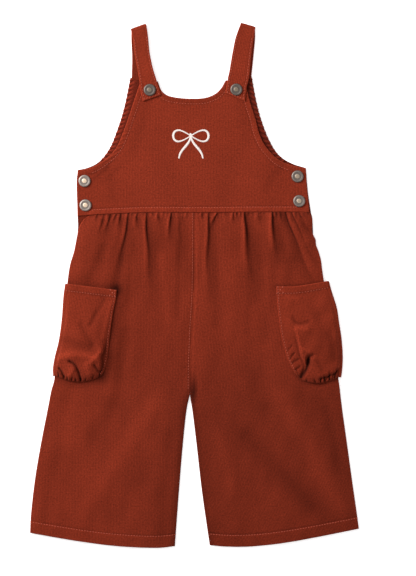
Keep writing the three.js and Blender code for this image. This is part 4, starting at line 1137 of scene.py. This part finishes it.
def pocket(side):
    shape = POCKETS[side]
    outward = -1 if side == "left" else 1
    half_cloth = POCKET_CLOTH / 2
    inset = POCKET_TURN + half_cloth

    def short(points):
        return [(x - outward * inset, y) for x, y in points]

    place = patch(edge((1, [*shape["top"][:-1], *short(shape["top"][-1:])])),
                  edge((1, [*shape["bottom"][:-1], *short(shape["bottom"][-1:])])),
                  edge((1, shape["stitched"])), edge((1, short(shape["side"]))))
    columns = lines_over(POCKET_WIDTH, 0.9)
    rows = lines_over(POCKET_HEIGHT, 1.15, (0, POCKET_HEM / POCKET_HEIGHT, 1))
    plan = place(columns, rows)
    x, y = plan[..., 0], plan[..., 1]
    from_stitch = distance_to(plan[:, 0], plan)
    from_bottom = distance_to(plan[-1], plan)
    from_top = distance_to(plan[0], plan)
    from_side = distance_to(plan[:, -1], plan)
    inside = right_of(smooth_line(shape["brow"], 8), plan) * (1 if side == "left" else -1)
    fullness = 0.6 + 5.6 * ease(0.12, 0.68, rows)[:, None]
    brow = 0.86 * ease(0.34, 0.68, rows)[:, None] * (1 - ease(-0.9, 2.0, inside))
    steep = 18 - 13 * ease(0.5, 0.78, rows)[:, None]
    dome = (ease(0, 1, from_stitch / steep) * (1 - brow) * (0.5 + 0.5 * ease(1, 24, from_side))
            * (1 - (1 - np.clip(from_bottom / 20, 0, 1)) ** 2.4))
    tucks = np.zeros(x.shape)
    for at, depth in shape["tucks"]:
        off = (columns[None] - at) * POCKET_WIDTH + 2.0 * np.sin(at * 40) * from_bottom / 12
        tucks += depth * groove(off, 1.1) * (1 - ease(2, 6.5 * depth, from_bottom))
    ruffle = 0.9 * (1 - ease(4, 13, from_bottom)) * ease(0.0, 2, from_bottom)
    folds = fold_relief(plan, shape["folds"]) * ease(0.5, 4, from_stitch)
    swell = 0.5 * unevenness(x, y, 26, 61 if side == "left" else 67) * ease(2, 16, from_stitch)
    body = fullness * dome + ruffle - 1.6 * tucks + folds + swell * ease(4, 20, from_bottom)
    body = np.maximum(body, 0.0) * ease(0, 4, from_side)
    loft = LEG_LOFT * (1 - (1 - np.clip((from_side + inset) / 16, 0, 1)) ** 2)
    front = with_height(plan, half_cloth + 2 * POCKET_TURN + loft * ease(0, 5, from_side) + 0.1 + body)
    turning = np.linspace(0.5, -0.5, 12)[1:] * math.pi
    corner = plan[:, -1]
    around = np.stack([np.stack([corner[:, 0] + outward * POCKET_TURN * math.cos(t), corner[:, 1],
                                 np.full(len(corner), half_cloth + POCKET_TURN * (1 + math.sin(t)))], axis=1)
                       for t in turning], axis=1)
    back_shares = np.linspace(0.93, 0, 54)
    back_plan = place(back_shares, rows)
    behind = with_height(back_plan, half_cloth)
    middle = np.concatenate([front, around, behind], axis=1)
    rim = np.minimum.reduce([from_stitch, from_bottom, from_top])
    hem = (0.7 * (1 - ease(POCKET_HEM - 0.8, POCKET_HEM + 1, from_top))
           - STITCH_SINK * groove(from_top - POCKET_HEM, 0.9))
    thick = (POCKET_CLOTH + hem) * thinned(rim, 1.2, 0.25) - 0.3 * groove(from_stitch - POCKET_STITCH, 0.8)
    lines = [distance_to(plan[:, 0], back_plan), distance_to(plan[-1], back_plan),
             distance_to(plan[0], back_plan)]
    gathers = np.zeros(back_plan.shape[:2])
    for at, depth in shape["tucks"]:
        off = (back_shares[None] - at) * POCKET_WIDTH
        gathers += depth * groove(off, 1.4) * (1 - ease(2, 8 * depth, lines[1]))
    sunk = (0.3 * groove(lines[0] - POCKET_STITCH, 1.0) + 0.3 * groove(lines[2] - POCKET_HEM, 1.0)
            + 0.5 * gathers)
    back_thick = POCKET_CLOTH * thinned(np.minimum.reduce(lines), 1.2, 0.25) - sunk
    turned = np.full((len(rows), len(turning)), POCKET_CLOTH)
    thick = np.concatenate([thick, turned, np.maximum(back_thick, 0.6)], axis=1)
    lower, upper = wall_about(middle, (len(rows) // 2, 4), (thick - half_cloth)[..., None], half_cloth)
    low = ease(0.4, 0.7, rows)[:, None]
    # Painted light and shade in the pocket's colour: rims lighter as highlight and wear, folds darker in
    # troughs and lighter on ridges, the tucks, the bottom edge, the lower part and the strip under the
    # overhanging brow painted dark as shade, a painted highlight along the brow, the right pocket lighter by
    # its side and the left darker low down, painted shade beside the hem stitch; its back half lighter at the
    # rim and darker in its gathers
    wear_and_painted_shading = (0.30 * groove(rim, 0.9) - 0.08 + 0.20 * np.minimum(folds, 0) + 0.13 * np.maximum(folds, 0)
            - 0.75 * tucks * ease(0, 1.6, from_bottom) - 0.25 * groove(from_bottom, 0.9) - 0.05 * low
            - (0.30 * groove(inside + 1.6, 1.8) + 0.20 * (side == "left")) * brow
            + (0.12 * groove(from_side, 3.0) if side == "right" else -0.07 * (1 - ease(4, 24, from_bottom)))
            + 0.20 * groove(inside - 1.2, 1.2) * low
            - 0.14 * groove(from_top - POCKET_HEM - 1.3, 1.0))
    back_wear_and_painted_shading = 0.3 * groove(np.minimum.reduce(lines), 0.9) - 0.06 - 0.3 * gathers
    wear_and_painted_shading = np.concatenate([wear_and_painted_shading, 0 * turned, back_wear_and_painted_shading], axis=1)
    run = lengths(middle[len(rows) // 2])
    down = np.pad(y, ((0, 0), (0, middle.shape[1] - len(columns))), mode="edge")
    cloth = np.stack(np.broadcast_arrays(run[None], down), axis=2)
    piece = cloth_piece("bubble_pocket_" + side, lower, upper, cloth, rust_corduroy, wear_and_painted_shading)
    stands_for(piece, "pocket_" + side)
    across = 1 if side == "left" else -1
    hem_line = beside(plan[0], across * POCKET_HEM)
    inner = beside(plan[:, 0], -across * POCKET_STITCH)
    tack = place([0.03, 0.125], [0.008, 0.066])
    box = [tack[:, 1], np.array([tack[0, 0], tack[1, 1]]), np.array([tack[1, 0], tack[0, 1]])]
    box = [a + (b - a) * np.linspace(0, 1, 8)[:, None] for a, b in box]
    topstitch("pocket_" + side, [hem_line[3:], *box], piece, 71)
    finer = dict(Thickness=0.00048, Length=0.0019) if side == "left" else {}
    topstitch("pocket_side_" + side, [inner[4:-6]], piece, 72, **finer)
    topstitch("pocket_back_" + side, [hem_line[3:-12], inner[4:-6]], piece, 73, below=True)


for side in ("left", "right"):
    pocket(side)

# Snaps
# Pressed metal caps with a domed rim, a sunk ring and a raised disc, antiqued so the ring stays dark.
# Each is riveted through the cloth; one holds each strap tab and two close each side.
# How bright each cap is made
SNAPS = dict(snap_strap_left=0.27, snap_strap_right=0.30, snap_side_left_upper=1.0,
             snap_side_left_lower=0.95, snap_side_right_upper=0.52, snap_side_right_lower=0.60)
# Cap profile: share of the radius, height in mm, how polished
SNAP_PROFILE = [(0.0, 0.0, 0.0), (0.90, 0.0, 0.0), (0.97, 0.12, 0.2), (1.0, 0.5, 0.5), (0.99, 0.9, 0.7),
                (0.95, 1.3, 0.9), (0.88, 1.62, 1.0), (0.80, 1.78, 1.0), (0.73, 1.74, 0.9),
                (0.69, 1.62, 0.7), (0.65, 1.55, 0.55), (0.56, 1.52, 0.62), (0.48, 1.52, 0.6),
                (0.435, 1.53, 0.4), (0.405, 1.64, 0.65), (0.38, 1.78, 0.9), (0.33, 1.9, 1.0),
                (0.22, 1.96, 0.95), (0.10, 1.99, 0.9), (0.0, 2.0, 0.9)]
SNAP_TURNS = 56
DISC_EDGE = 0.4


def snap_metal():
    material = bpy.data.materials.new("antique_metal")
    tree = nodes_for(material)
    place = node(tree, "ShaderNodeTexCoord").outputs["Object"]
    polish = attribute(tree, "tone")
    patina = noise(tree, place, 420.0, 4.0, 0.7)
    dull = maths(tree, "MULTIPLY", polish, maths(tree, "MULTIPLY_ADD", patina, 0.7, 0.6))
    rim = mix(tree, dull, (0.066, 0.050, 0.042, 1), (0.33, 0.275, 0.242, 1))
    bright = node(tree, "ShaderNodeVectorMath", {0: (0.74, 0.57, 0.42), "Scale": polish},
                  operation="SCALE").outputs[0]
    colour = mix(tree, attribute(tree, "disc"), rim, bright)
    rough = maths(tree, "MULTIPLY_ADD", patina, 0.25, 0.42)
    finish_material(tree, Base_Color=colour, Metallic=0.85, Roughness=rough,
                    Normal=bump(tree, patina, 0.25, 0.0001))
    return material


antique_metal = snap_metal()


def snap_cap(name, brightness):
    low, high = (np.array(corner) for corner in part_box(name))
    middle, radius = (low + high) / 2, (high[0] - low[0]) / 2
    places, tones, discs = [], [], []
    for share, height, polish in SNAP_PROFILE:
        count = 1 if share == 0 else SNAP_TURNS
        for k in range(count):
            turn = math.tau * k / SNAP_TURNS
            places.append((middle[0] + radius * share * math.cos(turn),
                           middle[1] + radius * share * math.sin(turn), low[2] + height * MM))
            tones.append(polish * brightness)
            discs.append(1.0 if share < DISC_EDGE and height > 1 else 0.0)
    faces, start = [], 0
    for (inner, *_), (outer, *_) in zip(SNAP_PROFILE, SNAP_PROFILE[1:]):
        ring = start + (1 if inner == 0 else SNAP_TURNS)
        for k in range(SNAP_TURNS):
            nxt = (k + 1) % SNAP_TURNS
            if inner == 0:
                faces.append((start, ring + nxt, ring + k))
            elif outer == 0:
                faces.append((start + k, start + nxt, ring))
            else:
                faces.append((start + k, start + nxt, ring + nxt, ring + k))
        start = ring
    mesh = bpy.data.meshes.new(name)
    mesh.from_pydata(places, [], faces)
    mesh.attributes.new("tone", "FLOAT", "POINT").data.foreach_set("value", tones)
    mesh.attributes.new("disc", "FLOAT", "POINT").data.foreach_set("value", discs)
    mesh.shade_smooth()
    mesh.materials.append(antique_metal)
    piece = bpy.data.objects.new(name.replace("snap", "snap_cap"), mesh)
    scene.collection.objects.link(piece)
    stands_for(piece, name)


for name, brightness in SNAPS.items():
    snap_cap(name, brightness)

# Embroidered bow
# A plain ribbon bow in cream satin stitch sits on the chest: two loops, two tails and a knot.
# Each loop and tail is a simple wave of its own size, covered by short threads laid side by side.
BOW_AT = np.array((-3.8, 186.2))
BOW_LOOP = dict(length=22, height=7)
BOW_TAIL = dict(spread=15, fall=28, sway=1.5)
BOW_WIDTH = 2.9
cream_thread = thread_material("cream_thread", (0.76, 0.68, 0.64))


def bow():
    share = np.linspace(0, 1, 150)
    turn = share * math.tau
    loop = np.stack([BOW_LOOP["length"] * np.sin(turn / 2), BOW_LOOP["height"] * np.sin(turn)], axis=1)
    tail = np.stack([BOW_TAIL["spread"] * share - BOW_TAIL["sway"] * np.sin(turn),
                     -BOW_TAIL["fall"] * share], axis=1)
    lines, widths = [], []
    for mirror in (-1, 1):
        lines += [BOW_AT + loop * (mirror, 1), BOW_AT + tail * (mirror, 1)]
        widths += [0.55 + 0.5 * np.sin(turn / 2) ** 2, 0.65 + 0.45 * np.sin(share * math.pi)]
    lines.append(BOW_AT + np.array([(-0.2, -2.6), (0, 0), (0.2, 2.6)]))
    widths.append([1.25, 1.5, 1.25])
    lay_threads("bow_embroidery", lines, bib_piece, cream_thread, "embroidery", lift=0.1,
                widths=widths, Spacing=0.00042, Length=BOW_WIDTH * MM * 1.08, Thickness=0.00065,
                Turn=math.radians(68), Unevenness=0.05, Seed=5)


bow()
